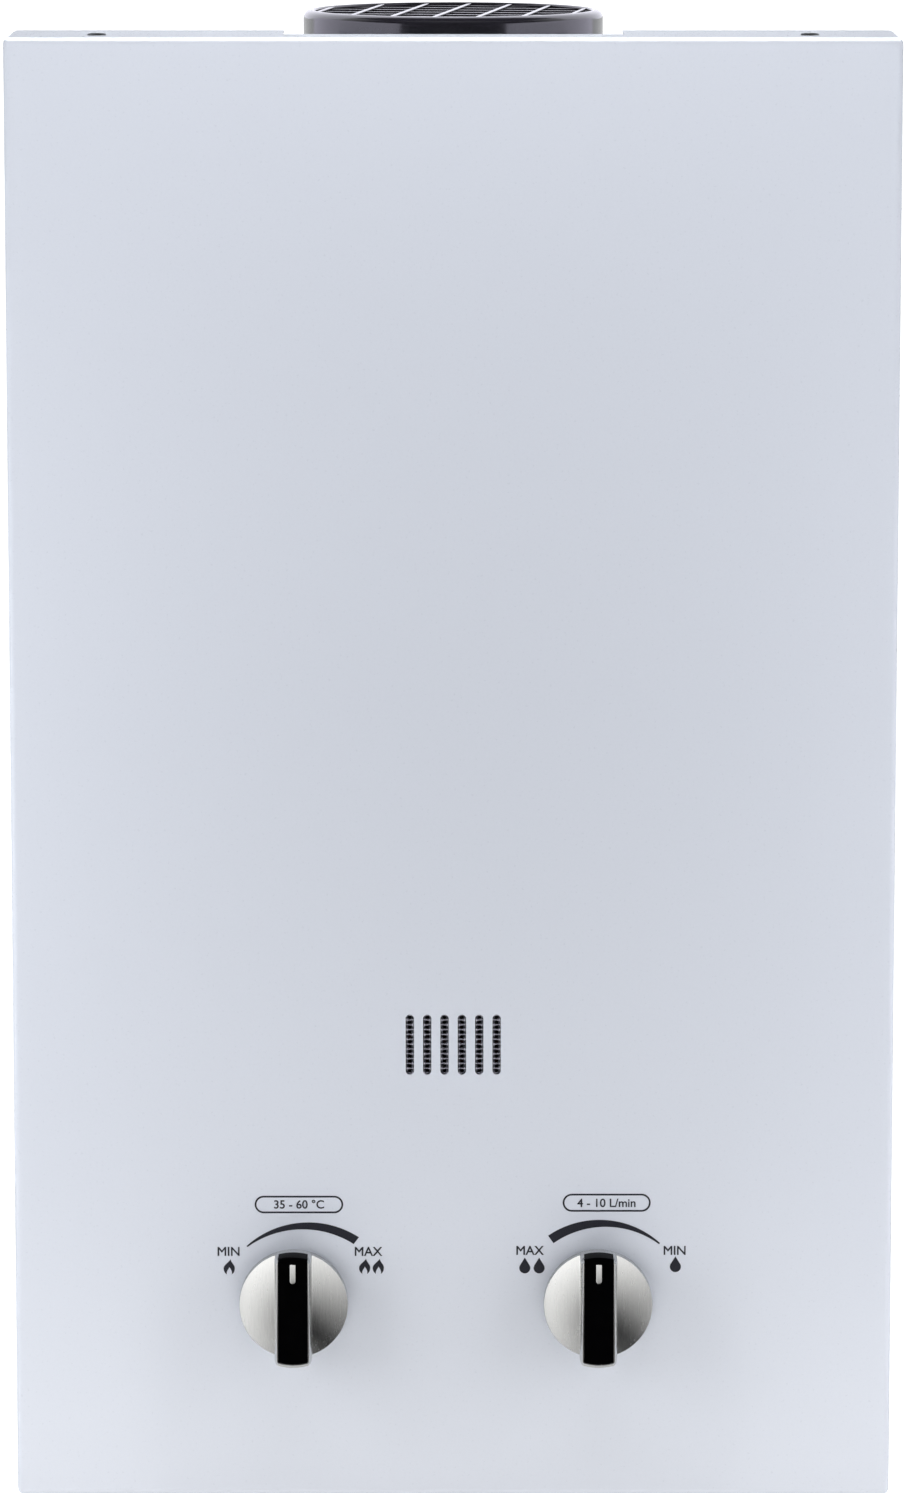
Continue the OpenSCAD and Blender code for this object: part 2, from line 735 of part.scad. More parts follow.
module hood_form(grow) {
    w = chamber_w + 2 * grow;
    dp = chamber_dp + 2 * grow;
    translate([-w / 2, flue_y - dp / 2, hood_z]) cube([w, dp, hood_skirt]);
    hull() {
        translate([-w / 2, flue_y - dp / 2, hood_z + hood_skirt - 1]) cube([w, dp, 1]);
        translate([0, flue_y, roof_z - 20]) cylinder(h = 8, r = neck_out_r + grow);
    }
}

module draft_hood() color("silver") difference() {
    union() {
        hood_form(0);
        rod_z(roof_z - 20, roof_z + hood_neck, 0, flue_y, neck_out_r);
    }
    hood_form(-sheet);
    block(
        [sheet - chamber_w / 2, chamber_front + sheet, hood_z - 1],
        [chamber_w / 2 - sheet, chamber_back - sheet, hood_z + 1]
    );
    rod_z(roof_z - 22, roof_z + hood_neck + 1, 0, flue_y, neck_out_r - sheet);
    block(
        [-chamber_w / 3, chamber_front - 1, hood_z + lip],
        [chamber_w / 3, chamber_front + 1, hood_z + lip + hood_slot]
    );
}

module hood_gasket() color("dimgray") difference() {
    block([-chamber_w / 2, chamber_front, chamber_top], [chamber_w / 2, chamber_back, hood_z]);
    block(
        [gasket_w - chamber_w / 2, chamber_front + gasket_w, chamber_top - 1],
        [chamber_w / 2 - gasket_w, chamber_back - gasket_w, hood_z + 1]
    );
}

module combustion_chamber() color("peru") difference() {
    block([-chamber_w / 2, chamber_front, chamber_z], [chamber_w / 2, chamber_back, chamber_top]);
    block(
        [sheet - chamber_w / 2, chamber_front + sheet, chamber_z - 1],
        [chamber_w / 2 - sheet, chamber_back - sheet, chamber_top + 1]
    );
    for (y = [tube_y0, flue_y, tube_y1]) rod_x(-chamber_w, chamber_w, y, tube_z, tube_r + seat_gap);
    block(
        [-mesh_w / 2, chamber_front - 1, slot_z - slot_h / 2 + 1],
        [mesh_w / 2, chamber_front + 2, slot_z + slot_h / 2]
    );
}

module exchanger_fins() color("peru") difference() {
    for (i = [0 : fin_n - 1])
        translate([(i - (fin_n - 1) / 2) * fin_pitch, flue_y, tube_z])
            cube([fin_t, fin_w, fin_h], center = true);
    for (y = [tube_y0, flue_y, tube_y1]) rod_x(-chamber_w, chamber_w, y, tube_z, tube_r + seat_gap);
}

module exchanger_tube() color("peru") {
    turn_x = chamber_w / 2 + tube_pitch / 2 + 3;
    sweep(rounded_route([
        [-chamber_w / 2 - 1, tube_y0, tube_z],
        [turn_x, tube_y0, tube_z],
        [turn_x, flue_y, tube_z],
        [-turn_x, flue_y, tube_z],
        [-turn_x, tube_y1, tube_z],
        [chamber_w / 2 + 1, tube_y1, tube_z]
    ], tube_pitch / 2 - 0.2, 6), tube_r, 12);
}

module coil_pipe() color("peru") {
    sweep(rounded_route([
        [water_x + block_right, cold_out_y, knob_z],
        [coil_x, cold_out_y, knob_z],
        [coil_x, cold_out_y, coil_z],
        [coil_x, coil_y1, coil_z + coil_step],
        [-coil_x, coil_y1, coil_z + 2 * coil_step],
        [-coil_x, coil_y0, coil_z + 3 * coil_step],
        [coil_x, coil_y0, coil_z + 4 * coil_step],
        [coil_x, coil_y1, coil_z + 5 * coil_step],
        [-coil_x, coil_y1, coil_z + 6 * coil_step],
        [-coil_x, tube_y0, coil_z + 7 * coil_step],
        [-coil_x - pipe_bend, tube_y0, tube_z],
        [-chamber_w / 2 - 1.2, tube_y0, tube_z]
    ], pipe_bend, 5), pipe_r, 8);
}

module thermal_cutout() color("black") {
    z = (coil_z + 7 * coil_step + tube_z) / 2;
    rod_x(-chamber_w / 2 - cutout_r, -chamber_w / 2, tube_y1, z, cutout_r);
    block(
        [-chamber_w / 2 - sheet, tube_y1 - 2 * cutout_r, z - cutout_r / 2],
        [-chamber_w / 2, tube_y1 + 2 * cutout_r, z + cutout_r / 2]
    );
}

module chamber_brackets() color("gray") {
    z = tube_z - fin_h;
    for (x = [-chamber_w / 3, chamber_w / 3]) {
        block([x - bracket_w / 2, chamber_back, z], [x + bracket_w / 2, chamber_back + sheet, z + 3 * lip]);
        block([x - bracket_w / 2, chamber_back, z + lip], [x + bracket_w / 2, -sheet, z + lip + 2 * sheet]);
        block([x - bracket_w / 2, -2 * sheet, z], [x + bracket_w / 2, -sheet, z + 3 * lip]);
    }
}

module burner_bars() color("silver") {
    for (i = [0 : burner_n - 1]) difference() {
        block(
            [burner_x(i) - burner_w / 2, burner_front, burner_z],
            [burner_x(i) + burner_w / 2, burner_front + burner_len, burner_top]
        );
        rod_y(burner_front - 1, burner_front + burner_len - 10, burner_x(i), mixer_z, mixer_r);
        block(
            [burner_x(i) - mixer_r / 2, burner_front + 10, mixer_z],
            [burner_x(i) + mixer_r / 2, burner_front + burner_len - 10, burner_top + 1]
        );
    }
}

module burner_frame() color("gray") difference() {
    block(
        [-chamber_w / 2, burner_front - sheet, burner_z],
        [chamber_w / 2, burner_front + burner_len + sheet, chamber_z]
    );
    block(
        [sheet - chamber_w / 2, burner_front, burner_z - 1],
        [chamber_w / 2 - sheet, burner_front + burner_len, chamber_z + 1]
    );
    for (i = [0 : burner_n - 1])
        rod_y(burner_front - 2, burner_front + 1, burner_x(i), mixer_z, mixer_r + seat_gap);
    for (x = [-electrode_x, electrode_x])
        rod_y(burner_front - 2, burner_front + 1, x, electrode_z, ceramic_r + seat_gap);
}

module gas_manifold() color("silver") difference() {
    side = manifold_w / 2;
    union() {
        block(
            [burner_x(0) - side, manifold_y - side, manifold_z - manifold_h / 2],
            [burner_x(burner_n - 1) + side, manifold_y + side, manifold_z + manifold_h / 2]
        );
        block([gas_mid - side, manifold_y - side, arm_z - 5], [gas_mid + side, manifold_y + side, manifold_z]);
        block(
            [gas_mid - side, manifold_y - side, arm_z - 5],
            [gas_mid + side, gas_out_y + side + 2, arm_z + 5]
        );
    }
    rod_x(burner_x(0), burner_x(burner_n - 1), manifold_y, manifold_z, manifold_bore);
    rod_z(arm_z, manifold_z, gas_mid, manifold_y, manifold_bore - 0.2);
    rod_y(manifold_y, gas_out_y, gas_mid, arm_z, manifold_bore - 0.4);
    rod_z(arm_z - 6, arm_z, gas_mid, gas_out_y, manifold_bore - 0.6);
    for (i = [0 : burner_n - 1]) rod_y(manifold_y, jet_y + 1, burner_x(i), mixer_z, jet_r + seat_gap);
}

module gas_jets() color("goldenrod") {
    for (i = [0 : burner_n - 1]) difference() {
        union() {
            rod_y(manifold_y + manifold_bore + 1, jet_y + jet_reach - 1, burner_x(i), mixer_z, jet_r);
            translate([burner_x(i), jet_y + 2.5, mixer_z]) rotate([90, 0, 0])
                cylinder(h = 2.5, r = jet_r + 2, $fn = 6);
        }
        rod_y(manifold_y, jet_y + jet_reach, burner_x(i), mixer_z, jet_bore);
    }
}

module electrodes() color("ivory") {
    tip_y = burner_front + 12;
    for (x = [-electrode_x, electrode_x]) {
        rod_y(electrode_front, tip_y, x, electrode_z, ceramic_r);
        rod_y(tip_y - 1, tip_y + electrode_tip, x, electrode_z, ceramic_r / 3);
    }
}

module gas_valve_body() color("silver") difference() {
    block(
        [gas_mid - gas_hw, cock_y, knob_z - gas_hh],
        [gas_mid + gas_hw, valve_y + gas_back, knob_z + gas_hh]
    );
    rod_y(cock_y - 1, cock_y + cock_len, gas_mid, knob_z, cock_r);
    rod_y(cock_y + cock_len - 1, valve_y, gas_mid, knob_z, 3);
    rod_z(knob_z, knob_z + gas_hh + 1, gas_mid, gas_out_y, manifold_bore);
    rod_x(gas_mid - gas_hw - 1, gas_seat_x - seat_t, valve_y, knob_z, plunger_bore);
    rod_x(gas_seat_x - seat_t - 1, gas_seat_x + 1, valve_y, knob_z, seat_bore);
    rod_x(gas_seat_x, gas_mid + gas_hw + 1, valve_y, knob_z, plunger_bore);
    rod_z(knob_z - gas_hh - 1, knob_z, gas_in_x, valve_y, nipple_bore);
}

module bonnet(x, y) {
    difference() {
        union() {
            block(
                [x - bonnet_side / 2, y - bonnet_t, knob_z - bonnet_side / 2],
                [x + bonnet_side / 2, y, knob_z + bonnet_side / 2]
            );
            rod_y(y - bonnet_t - neck_len, y - bonnet_t + 1, x, knob_z, neck_r);
        }
        rod_y(y - bonnet_t - neck_len - 1, y + 1, x, knob_z, spindle_r + run_gap);
    }
}

module spindle_bonnets() color("gray") {
    bonnet(gas_mid, cock_y);
    bonnet(water_x, spindle_y);
}

// The part of a spindle from its bonnet into the knob, with the knob's flat
module spindle_shaft(x, y) {
    flat_z = spindle_r - spindle_flat;
    difference() {
        rod_y(front_y - knob_gap - spindle_grip, y + eps, x, knob_z, spindle_r);
        block(
            [x - spindle_r - 1, front_y - knob_gap - spindle_grip - 1, knob_z + flat_z],
            [x + spindle_r + 1, front_y - knob_gap, knob_z + spindle_r + 1]
        );
    }
}

module gas_spindle() color("goldenrod") difference() {
    union() {
        spindle_shaft(gas_mid, cock_y + 0.3);
        rod_y(cock_y + 0.3, cock_y + cock_len - 0.4, gas_mid, knob_z, cock_r - run_gap);
    }
    rod_z(knob_z - cock_r - 1, knob_z + cock_r + 1, gas_mid, gas_out_y, manifold_bore);
}

module plunger_guide() color("goldenrod") difference() {
    union() {
        rod_x(guide_x, gas_mid + gas_hw + eps, valve_y, knob_z, plunger_bore - seat_gap);
        translate([gas_mid + gas_hw, valve_y, knob_z]) rotate([0, 90, 0])
            cylinder(h = guide_hex, r = plunger_bore + 2.6, $fn = 6);
    }
    rod_x(guide_x - 1, gas_mid + gas_hw + guide_hex + 1, valve_y, knob_z, rod_r + run_gap);
}

module gas_plunger() color("goldenrod") {
    rod_x(guide_x - 0.5 - disc_t, guide_x - 0.5, valve_y, knob_z, plunger_bore - 1.5);
    rod_x(guide_x - 1, stem_x, valve_y, knob_z, rod_r);
}

module plunger_spring() color("gray") difference() {
    rod_x(gas_seat_x + 0.2, guide_x - 0.7 - disc_t, valve_y, knob_z, plunger_bore - 2.6);
    rod_x(gas_seat_x, guide_x, valve_y, knob_z, plunger_bore - 4);
}

module solenoid_valve() color("dimgray") difference() {
    union() {
        rod_x(sol_x - sol_len, sol_x, valve_y, knob_z, sol_r);
        rod_x(sol_x - 1, sol_x + sol_stroke, valve_y, knob_z, plunger_bore - seat_gap);
    }
    rod_x(sol_x - sol_len + 8, sol_x + sol_stroke + 1, valve_y, knob_z, sol_core + run_gap);
}

module solenoid_plunger() color("silver") {
    disc_x = gas_seat_x - seat_t - disc_t - 1;
    rod_x(sol_x - sol_len + 8.5 + sol_stroke, disc_x + 1, valve_y, knob_z, sol_core);
    rod_x(disc_x, disc_x + disc_t, valve_y, knob_z, seat_bore + 2);
}

module nipple(x, top) {
    difference() {
        union() {
            rod_z(thread_z - eps, top, x, valve_y, shank_r);
            rod_z(nipple_end, thread_z, x, valve_y, thread_r);
            translate([x, valve_y, floor_in_z]) cylinder(h = nut_h, r = nut_r, $fn = 6);
        }
        rod_z(nipple_end - 1, top + 1, x, valve_y, nipple_bore);
    }
}

module gas_nipple() color("goldenrod") nipple(gas_in_x, nipple_top_gas);

module water_valve_body() color("goldenrod") difference() {
    union() {
        rod_x(dia_x, block_x + eps, valve_y, knob_z, housing_r);
        block(
            [block_x, spindle_y, knob_z - block_hh],
            [water_x + block_right, valve_y + block_back, knob_z + block_hh]
        );
    }
    rod_x(dia_x - 1, dia_x + flange_t - 3, valve_y, knob_z, dia_r);
    rod_y(spindle_y - 1, needle_seat_y, water_x, knob_z, needle_r + run_gap);
    rod_y(needle_seat_y - 1, valve_y + 6, water_x, knob_z, 4);
    rod_x(dia_x + 1, cold_x, valve_y, knob_z, 3);
    rod_z(knob_z - block_hh - 1, knob_z, cold_x, valve_y, nipple_bore);
    rod_x(water_x, water_x + block_right + 1, cold_out_y, knob_z, needle_r - 0.5);
    rod_z(knob_z - block_hh - 1, knob_z - 4, drain_x, drain_y, drain_r + seat_gap);
    cap_screw_places() rod_x(dia_x - 1, block_x - 1, 0, 0, cap_screw_hole);
}

// Repeats a piece at the six screws round the diaphragm
module cap_screw_places() {
    for (k = [0 : 5])
        translate([0, valve_y + cap_ring_r * cos(60 * k), knob_z + cap_ring_r * sin(60 * k)]) children();
}

module water_spindle() color("goldenrod") {
    head_y = spindle_y + 0.3;
    spindle_shaft(water_x, head_y);
    rod_y(head_y, spindle_y + head_len, water_x, knob_z, needle_r);
    block(
        [water_x - tongue_t / 2, spindle_y + head_len - eps, knob_z - needle_r / 2],
        [water_x + tongue_t / 2, spindle_y + head_len + tongue_len, knob_z + needle_r / 2]
    );
}

module water_needle() color("silver") difference() {
    cone_y = needle_seat_y - needle_cone;
    union() {
        rod_y(needle_y, cone_y + eps, water_x, knob_z, needle_r);
        translate([water_x, cone_y, knob_z]) rotate([-90, 0, 0])
            cylinder(h = needle_cone, r1 = needle_r - 1, r2 = 2);
    }
    block(
        [water_x - tongue_t / 2 - 0.3, needle_y - 1, knob_z - needle_r / 2 - 0.3],
        [water_x + tongue_t / 2 + 0.3, needle_y + tongue_len, knob_z + needle_r / 2 + 0.3]
    );
}

module diaphragm_cover() color("goldenrod") difference() {
    union() {
        rod_x(cap_x, dia_x - dia_t, valve_y, knob_z, housing_r);
        rod_x(cap_x - 2 * stroke, cap_x + 1, valve_y, knob_z, rod_r + 5);
    }
    rod_x(cap_x + cap_wall, dia_x - dia_t + 1, valve_y, knob_z, dia_r);
    rod_x(cap_x - 2 * stroke - 1, cap_x + cap_wall + 1, valve_y, knob_z, rod_r + run_gap);
    cap_screw_places() rod_x(cap_x - 1, dia_x, 0, 0, cap_screw_hole);
}

module diaphragm() color("black") difference() {
    rod_x(dia_x - dia_t, dia_x, valve_y, knob_z, housing_r);
    cap_screw_places() rod_x(dia_x - dia_t - 1, dia_x + 1, 0, 0, cap_screw_hole);
}

module push_rod() color("silver") {
    plate_x = dia_x - dia_t - 0.3;
    rod_x(stem_x + 0.2, plate_x - 1, valve_y, knob_z, rod_r);
    rod_x(plate_x - 2.5, plate_x, valve_y, knob_z, plate_r);
    rod_x(ring_x, ring_x + ring_w, valve_y, knob_z, ring_r);
}

module diaphragm_screws() color("dimgray") {
    cap_screw_places() {
        rod_x(cap_x - eps, block_x - 1.5, 0, 0, cap_screw_r);
        rod_x(cap_x - 1.4 * cap_screw_r, cap_x, 0, 0, 1.8 * cap_screw_r);
    }
}

module cold_nipple() color("goldenrod") nipple(cold_x, knob_z - block_hh);

module inlet_filter() color("silver") difference() {
    rod_z(nipple_end + 4, floor_in_z, cold_x, valve_y, nipple_bore - seat_gap);
    rod_z(nipple_end + 3, floor_in_z - 1, cold_x, valve_y, nipple_bore - 1.2);
}

module drain_plug() color("goldenrod") {
    rod_z(floor_z - 2, knob_z - 10, drain_x, drain_y, drain_r);
    rod_z(floor_z - 14, floor_z - 2 + eps, drain_x, drain_y, drain_head);
}

module hot_pipe() color("peru") {
    sweep(rounded_route([
        [chamber_w / 2 + 1.2, tube_y1, tube_z],
        [hot_mid, tube_y1, tube_z],
        [hot_mid, tube_y1, chamber_z - 10],
        [hot_mid, valve_y, chamber_z - 40],
        [hot_mid, valve_y, floor_z + 27]
    ], pipe_bend, 5), pipe_r, 8);
}

module hot_nipple() color("goldenrod") nipple(hot_mid, floor_z + 27);

module nipple_nuts() color("silver") {
    for (x = [gas_in_x, cold_x, hot_mid]) difference() {
        translate([x, valve_y, thread_z]) cylinder(h = nut_h, r = nut_r, $fn = 6);
        rod_z(thread_z - 1, thread_z + nut_h + 1, x, valve_y, shank_r + seat_gap);
    }
}

module nipple_washers() color("gray") {
    for (x = [gas_in_x, cold_x, hot_mid]) difference() {
        rod_z(floor_z - washer_t, floor_z, x, valve_y, nut_r - 1);
        rod_z(floor_z - washer_t - 1, floor_z + 1, x, valve_y, shank_r + seat_gap);
    }
}

module valve_bridge() color("gainsboro") {
    front = valve_y - plunger_bore - 10;
    back = bridge_y + bridge_t;
    for (end = [[bridge_x0, plunger_bore + 3.4], [cap_x - bridge_t, rod_r + 5.5]]) difference() {
        block([end[0], front, knob_z - bridge_hh], [end[0] + bridge_t, back, knob_z + bridge_hh]);
        rod_x(end[0] - 1, end[0] + bridge_t + 1, valve_y, knob_z, end[1]);
    }
    block([bridge_x0, bridge_y, knob_z - bridge_hh], [cap_x, back, knob_z + bridge_hh]);
}

module micro_switch() color("dimgray") {
    base_z = pivot_z + 2.5 * pivot_r + 0.5;
    back_y = valve_y + lever_w / 2 + 0.5;
    block([lever_x - 12, valve_y - 6, base_z], [lever_x + 10, bridge_y, base_z + 10]);
    block([lever_x - 3, back_y, pivot_z - 2], [lever_x + 3, back_y + 3, base_z + 1]);
    rod_y(lever_y - 1, back_y + 1, lever_x, pivot_z, pivot_r);
}

module switch_lever() color("silver") difference() {
    union() {
        rod_y(lever_y, lever_y + lever_w, lever_x, pivot_z, 2.2 * pivot_r);
        block(
            [lever_x - lever_t / 2, lever_y, knob_z + rod_r + 0.5],
            [lever_x + lever_t / 2, lever_y + lever_w, pivot_z]
        );
    }
    rod_y(lever_y - 1, lever_y + lever_w + 1, lever_x, pivot_z, pivot_r + run_gap);
}

module igniter_module() color("dimgray") {
    block(
        [igniter_x, igniter_y, igniter_z],
        [igniter_x + igniter_w, igniter_y + igniter_dp, igniter_z + igniter_h]
    );
}

module electrode_leads() color("firebrick") {
    for (side = [-1, 1])
        sweep(rounded_route([
            [igniter_x + 22 + side * 5, igniter_y, igniter_z + 50],
            [igniter_x + 22 + side * 5, lead_y + side * 2, igniter_z + 50],
            [side * electrode_x, lead_y + side * 2, electrode_z + 10 + side * 4],
            [side * electrode_x, lead_y + side * 2, electrode_z],
            [side * electrode_x, electrode_front, electrode_z]
        ], 3, 4), lead_r, 6);
}

module module_leads() color("black") {
    sweep(rounded_route([
        [box_x - 20, box_y, box_top],
        [box_x - 20, box_y, box_top + 16],
        [igniter_x + 8, igniter_y + 20, igniter_z - 16],
        [igniter_x + 8, igniter_y + 20, igniter_z]
    ], 6, 4), lead_r, 6);
    sweep(rounded_route([
        [sol_x - sol_len, valve_y, knob_z],
        [sol_x - sol_len - 10, valve_y, knob_z],
        [igniter_x + 25, igniter_y + 12, igniter_z - 20],
        [igniter_x + 25, igniter_y + 12, igniter_z]
    ], 6, 4), lead_r, 6);
    sweep(rounded_route([
        [lever_x - 12, valve_y, pivot_z + 9],
        [lever_x - 17, valve_y, pivot_z + 9],
        [bridge_x0 + 2, valve_y + 3, knob_z + gas_hh + 5],
        [gas_mid, valve_y + gas_back - 4, knob_z + gas_hh + 5],
        [igniter_x + 27, igniter_y + 28, knob_z + gas_hh + 8],
        [igniter_x + 27, igniter_y + 28, igniter_z]
    ], 3, 4), lead_r, 6);
}

module battery_box() color("dimgray") difference() {
    block(
        [box_x - bay_w / 2 - box_wall, box_y - bay_dp / 2 - box_wall, floor_in_z],
        [box_x + bay_w / 2 + box_wall, box_y + bay_dp / 2 + box_wall, box_top]
    );
    block(
        [box_x - bay_w / 2, box_y - bay_dp / 2, floor_in_z - 1],
        [box_x + bay_w / 2, box_y + bay_dp / 2, box_top - box_wall]
    );
}

module battery_cells() color("slategray") {
    for (side = [-1, 1]) {
        rod_z(cell_z, cell_z + cell_len, box_x + side * cell_dx, box_y, cell_r);
        rod_z(cell_z + cell_len - eps, cell_z + cell_len + 1.8, box_x + side * cell_dx, box_y, cell_r / 3);
    }
}

module battery_lid() color("dimgray") {
    back = box_y + bay_dp / 2 + lid_rim;
    block([lid_x0, hinge_y + knuckle_r - 1, lid_z], [lid_x1, back, lid_z + lid_t]);
    rod_x(lid_x0, lid_x1, hinge_y, hinge_z, knuckle_r);
    rod_x(lid_x0 - nest_gap - sheet, lid_x1 + nest_gap + sheet, hinge_y, hinge_z, lid_pin_r);
    block([lid_x0, hinge_y, hinge_z], [lid_x1, hinge_y + knuckle_r, lid_z + lid_t]);
}

module lid_springs() color("silver") {
    for (side = [-1, 1])
        translate([box_x + side * cell_dx, box_y, lid_z + lid_t])
            cylinder(h = lid_spring + nest_gap - 0.3, r1 = 0.5 * cell_r, r2 = 0.3 * cell_r);
}

module grip_outline() {
    intersection() {
        circle(grip_r);
        square([grip_w, 3 * grip_r], center = true);
    }
}

module insert_outline() {
    intersection() {
        circle(grip_r);
        translate([-insert_w / 2, insert_margin - grip_r]) square([insert_w, 3 * grip_r]);
    }
}

// The strip of the insert that runs over the grip's upper end
module insert_end() {
    intersection() {
        difference() {
            circle(grip_r);
            circle(grip_r - insert_t);
        }
        translate([-insert_w / 2, 0]) square([insert_w, 2 * grip_r]);
    }
}

module insert_form() {
    translate([0, 0, insert_base]) linear_extrude(insert_t) insert_outline();
    translate([0, 0, insert_top - insert_wrap]) linear_extrude(insert_wrap) insert_end();
}

module pointer_form(z0, z1) {
    translate([-pointer_w / 2, grip_r - pointer_margin - pointer_len, z0])
        cube([pointer_w, pointer_len, z1 - z0]);
}

module knob(x) {
    at_knob(x) difference() {
        union() {
            translate([0, 0, knob_gap]) intersection() {
                cylinder(h = dome_h, r = knob_r);
                translate([0, 0, dome_h - dome_r]) sphere(dome_r);
            }
            translate([0, 0, grip_z]) linear_extrude(insert_top - grip_z) grip_outline();
        }
        difference() {
            translate([0, 0, knob_gap - 1]) cylinder(h = skirt_h - knob_wall + 1, r = knob_r - knob_wall);
            cylinder(h = knob_h, r = hub_r);
        }
        insert_form();
        intersection() {
            cylinder(h = knob_gap + spindle_grip + run_gap, r = spindle_r + run_gap);
            translate([-knob_r, -knob_r, 0])
                cube([2 * knob_r, knob_r + spindle_r - spindle_flat + run_gap, 2 * knob_h]);
        }
    }
}

module knob_insert(x) {
    at_knob(x) difference() {
        insert_form();
        pointer_form(insert_top - pointer_sink, insert_top + 1);
    }
}

module knob_pointer(x) {
    at_knob(x) pointer_form(insert_top - pointer_sink, insert_top + pointer_proud);
}

module gas_knob() color("silver") knob(gas_mid);
module gas_knob_insert() color("black") knob_insert(gas_mid);
module gas_knob_pointer() color("white") knob_pointer(gas_mid);
module water_knob() color("silver") knob(water_x);
module water_knob_insert() color("black") knob_insert(water_x);
module water_knob_pointer() color("white") knob_pointer(water_x);

front_cover();
back_shell();
roof_panel();
floor_panel();
cover_screws();
sight_mesh();
flue_collar();
flue_grille();
draft_hood();
hood_gasket();
combustion_chamber();
exchanger_fins();
exchanger_tube();
coil_pipe();
thermal_cutout();
chamber_brackets();
burner_bars();
burner_frame();
gas_manifold();
gas_jets();
electrodes();
gas_valve_body();
spindle_bonnets();
gas_spindle();
plunger_guide();
gas_plunger();
plunger_spring();
solenoid_valve();
solenoid_plunger();
gas_nipple();
water_valve_body();
water_spindle();
water_needle();
diaphragm_cover();
diaphragm();
push_rod();
diaphragm_screws();
cold_nipple();
inlet_filter();
drain_plug();
hot_pipe();
hot_nipple();
nipple_nuts();
nipple_washers();
valve_bridge();
micro_switch();
switch_lever();
igniter_module();
electrode_leads();
module_leads();
battery_box();
battery_cells();
battery_lid();
lid_springs();
gas_knob();
gas_knob_insert();
gas_knob_pointer();
water_knob();
water_knob_insert();
water_knob_pointer();
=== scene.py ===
import json
import math

import bmesh
import bpy
from mathutils import Matrix, Vector


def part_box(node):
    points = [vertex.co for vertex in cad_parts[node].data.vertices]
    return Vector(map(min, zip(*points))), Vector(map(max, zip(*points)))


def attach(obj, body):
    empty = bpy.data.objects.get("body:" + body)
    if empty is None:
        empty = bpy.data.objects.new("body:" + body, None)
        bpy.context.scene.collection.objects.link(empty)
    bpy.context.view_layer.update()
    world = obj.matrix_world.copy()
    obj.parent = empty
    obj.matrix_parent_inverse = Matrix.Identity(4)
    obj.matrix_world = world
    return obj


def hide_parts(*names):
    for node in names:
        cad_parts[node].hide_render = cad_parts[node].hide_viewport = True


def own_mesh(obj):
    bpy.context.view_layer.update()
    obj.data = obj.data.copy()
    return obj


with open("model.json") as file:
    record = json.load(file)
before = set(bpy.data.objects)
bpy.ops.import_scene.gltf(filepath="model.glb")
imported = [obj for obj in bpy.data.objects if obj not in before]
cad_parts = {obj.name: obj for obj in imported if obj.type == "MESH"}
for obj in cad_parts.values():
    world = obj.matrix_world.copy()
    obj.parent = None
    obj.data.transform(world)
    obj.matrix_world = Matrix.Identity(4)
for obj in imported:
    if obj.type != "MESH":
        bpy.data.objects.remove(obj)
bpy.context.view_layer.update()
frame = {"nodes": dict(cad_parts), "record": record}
nodes = frame["nodes"]
scene = bpy.context.scene
scene.view_settings.view_transform = "Standard"
mm = 0.001
quarterTurn = math.pi / 2

# camera as the photo was taken, a long lens from a little above
shot = {"place": (0.0003, -2.6733, 0.4160), "tilt": 0.15983, "lens": 271.36, "sensor": 36}
cameraData = bpy.data.cameras.new("shotCamera")
cameraData.sensor_fit = "HORIZONTAL"
cameraData.sensor_width = shot["sensor"]
cameraData.lens = shot["lens"]
camera = bpy.data.objects.new("shotCamera", cameraData)
camera.location = shot["place"]
camera.rotation_euler = (quarterTurn - shot["tilt"], 0, 0)
scene.collection.objects.link(camera)
scene.camera = camera


# small helpers for node trees

def feed(tree, socket, value):
    # an output is joined to the socket, a plain value is set on it
    if isinstance(value, bpy.types.NodeSocket):
        tree.links.new(value, socket)
    else:
        socket.default_value = value


def makeNode(tree, kind, inputs=None, **settings):
    node = tree.nodes.new(kind)
    for key, value in settings.items():
        setattr(node, key, value)
    for key, value in (inputs or {}).items():
        feed(tree, node.inputs[key], value)
    return node


def maths(tree, operation, *values):
    return makeNode(tree, "ShaderNodeMath", dict(enumerate(values)), operation=operation).outputs[0]


def vectorMaths(tree, operation, *values):
    node = makeNode(tree, "ShaderNodeVectorMath", dict(enumerate(values)), operation=operation)
    return node.outputs["Value" if operation in ("DOT_PRODUCT", "LENGTH") else "Vector"]


def splitVector(tree, value):
    return makeNode(tree, "ShaderNodeSeparateXYZ", {0: value}).outputs


def blendColours(tree, factor, low, high):
    return makeNode(tree, "ShaderNodeMix", {0: factor, 6: low, 7: high}, data_type="RGBA").outputs[2]


def stretchValue(tree, value, low, high, start=0.0, end=1.0):
    return makeNode(tree, "ShaderNodeMapRange", {0: value, 1: start, 2: end, 3: low, 4: high}).outputs[0]


def nodeGroup(name, kind, inputs, outputs):
    tree = bpy.data.node_groups.new(name, kind)
    for way, sockets in (("INPUT", inputs), ("OUTPUT", outputs)):
        for label, socket in sockets.items():
            tree.interface.new_socket(label, in_out=way, socket_type="NodeSocket" + socket)
    return tree, tree.nodes.new("NodeGroupInput").outputs, tree.nodes.new("NodeGroupOutput").inputs


# shared surface effects
surface = {"grainSpan": (0.3, 0.7), "grainDetail": 4.0, "edgeMarkScale": 260.0, "edgeMarkDetail": 2.0, "edgeMarkGain": 6.0,
           "dustDetail": 6.0, "dustFall": 4.0, "bumpStrength": 0.3}


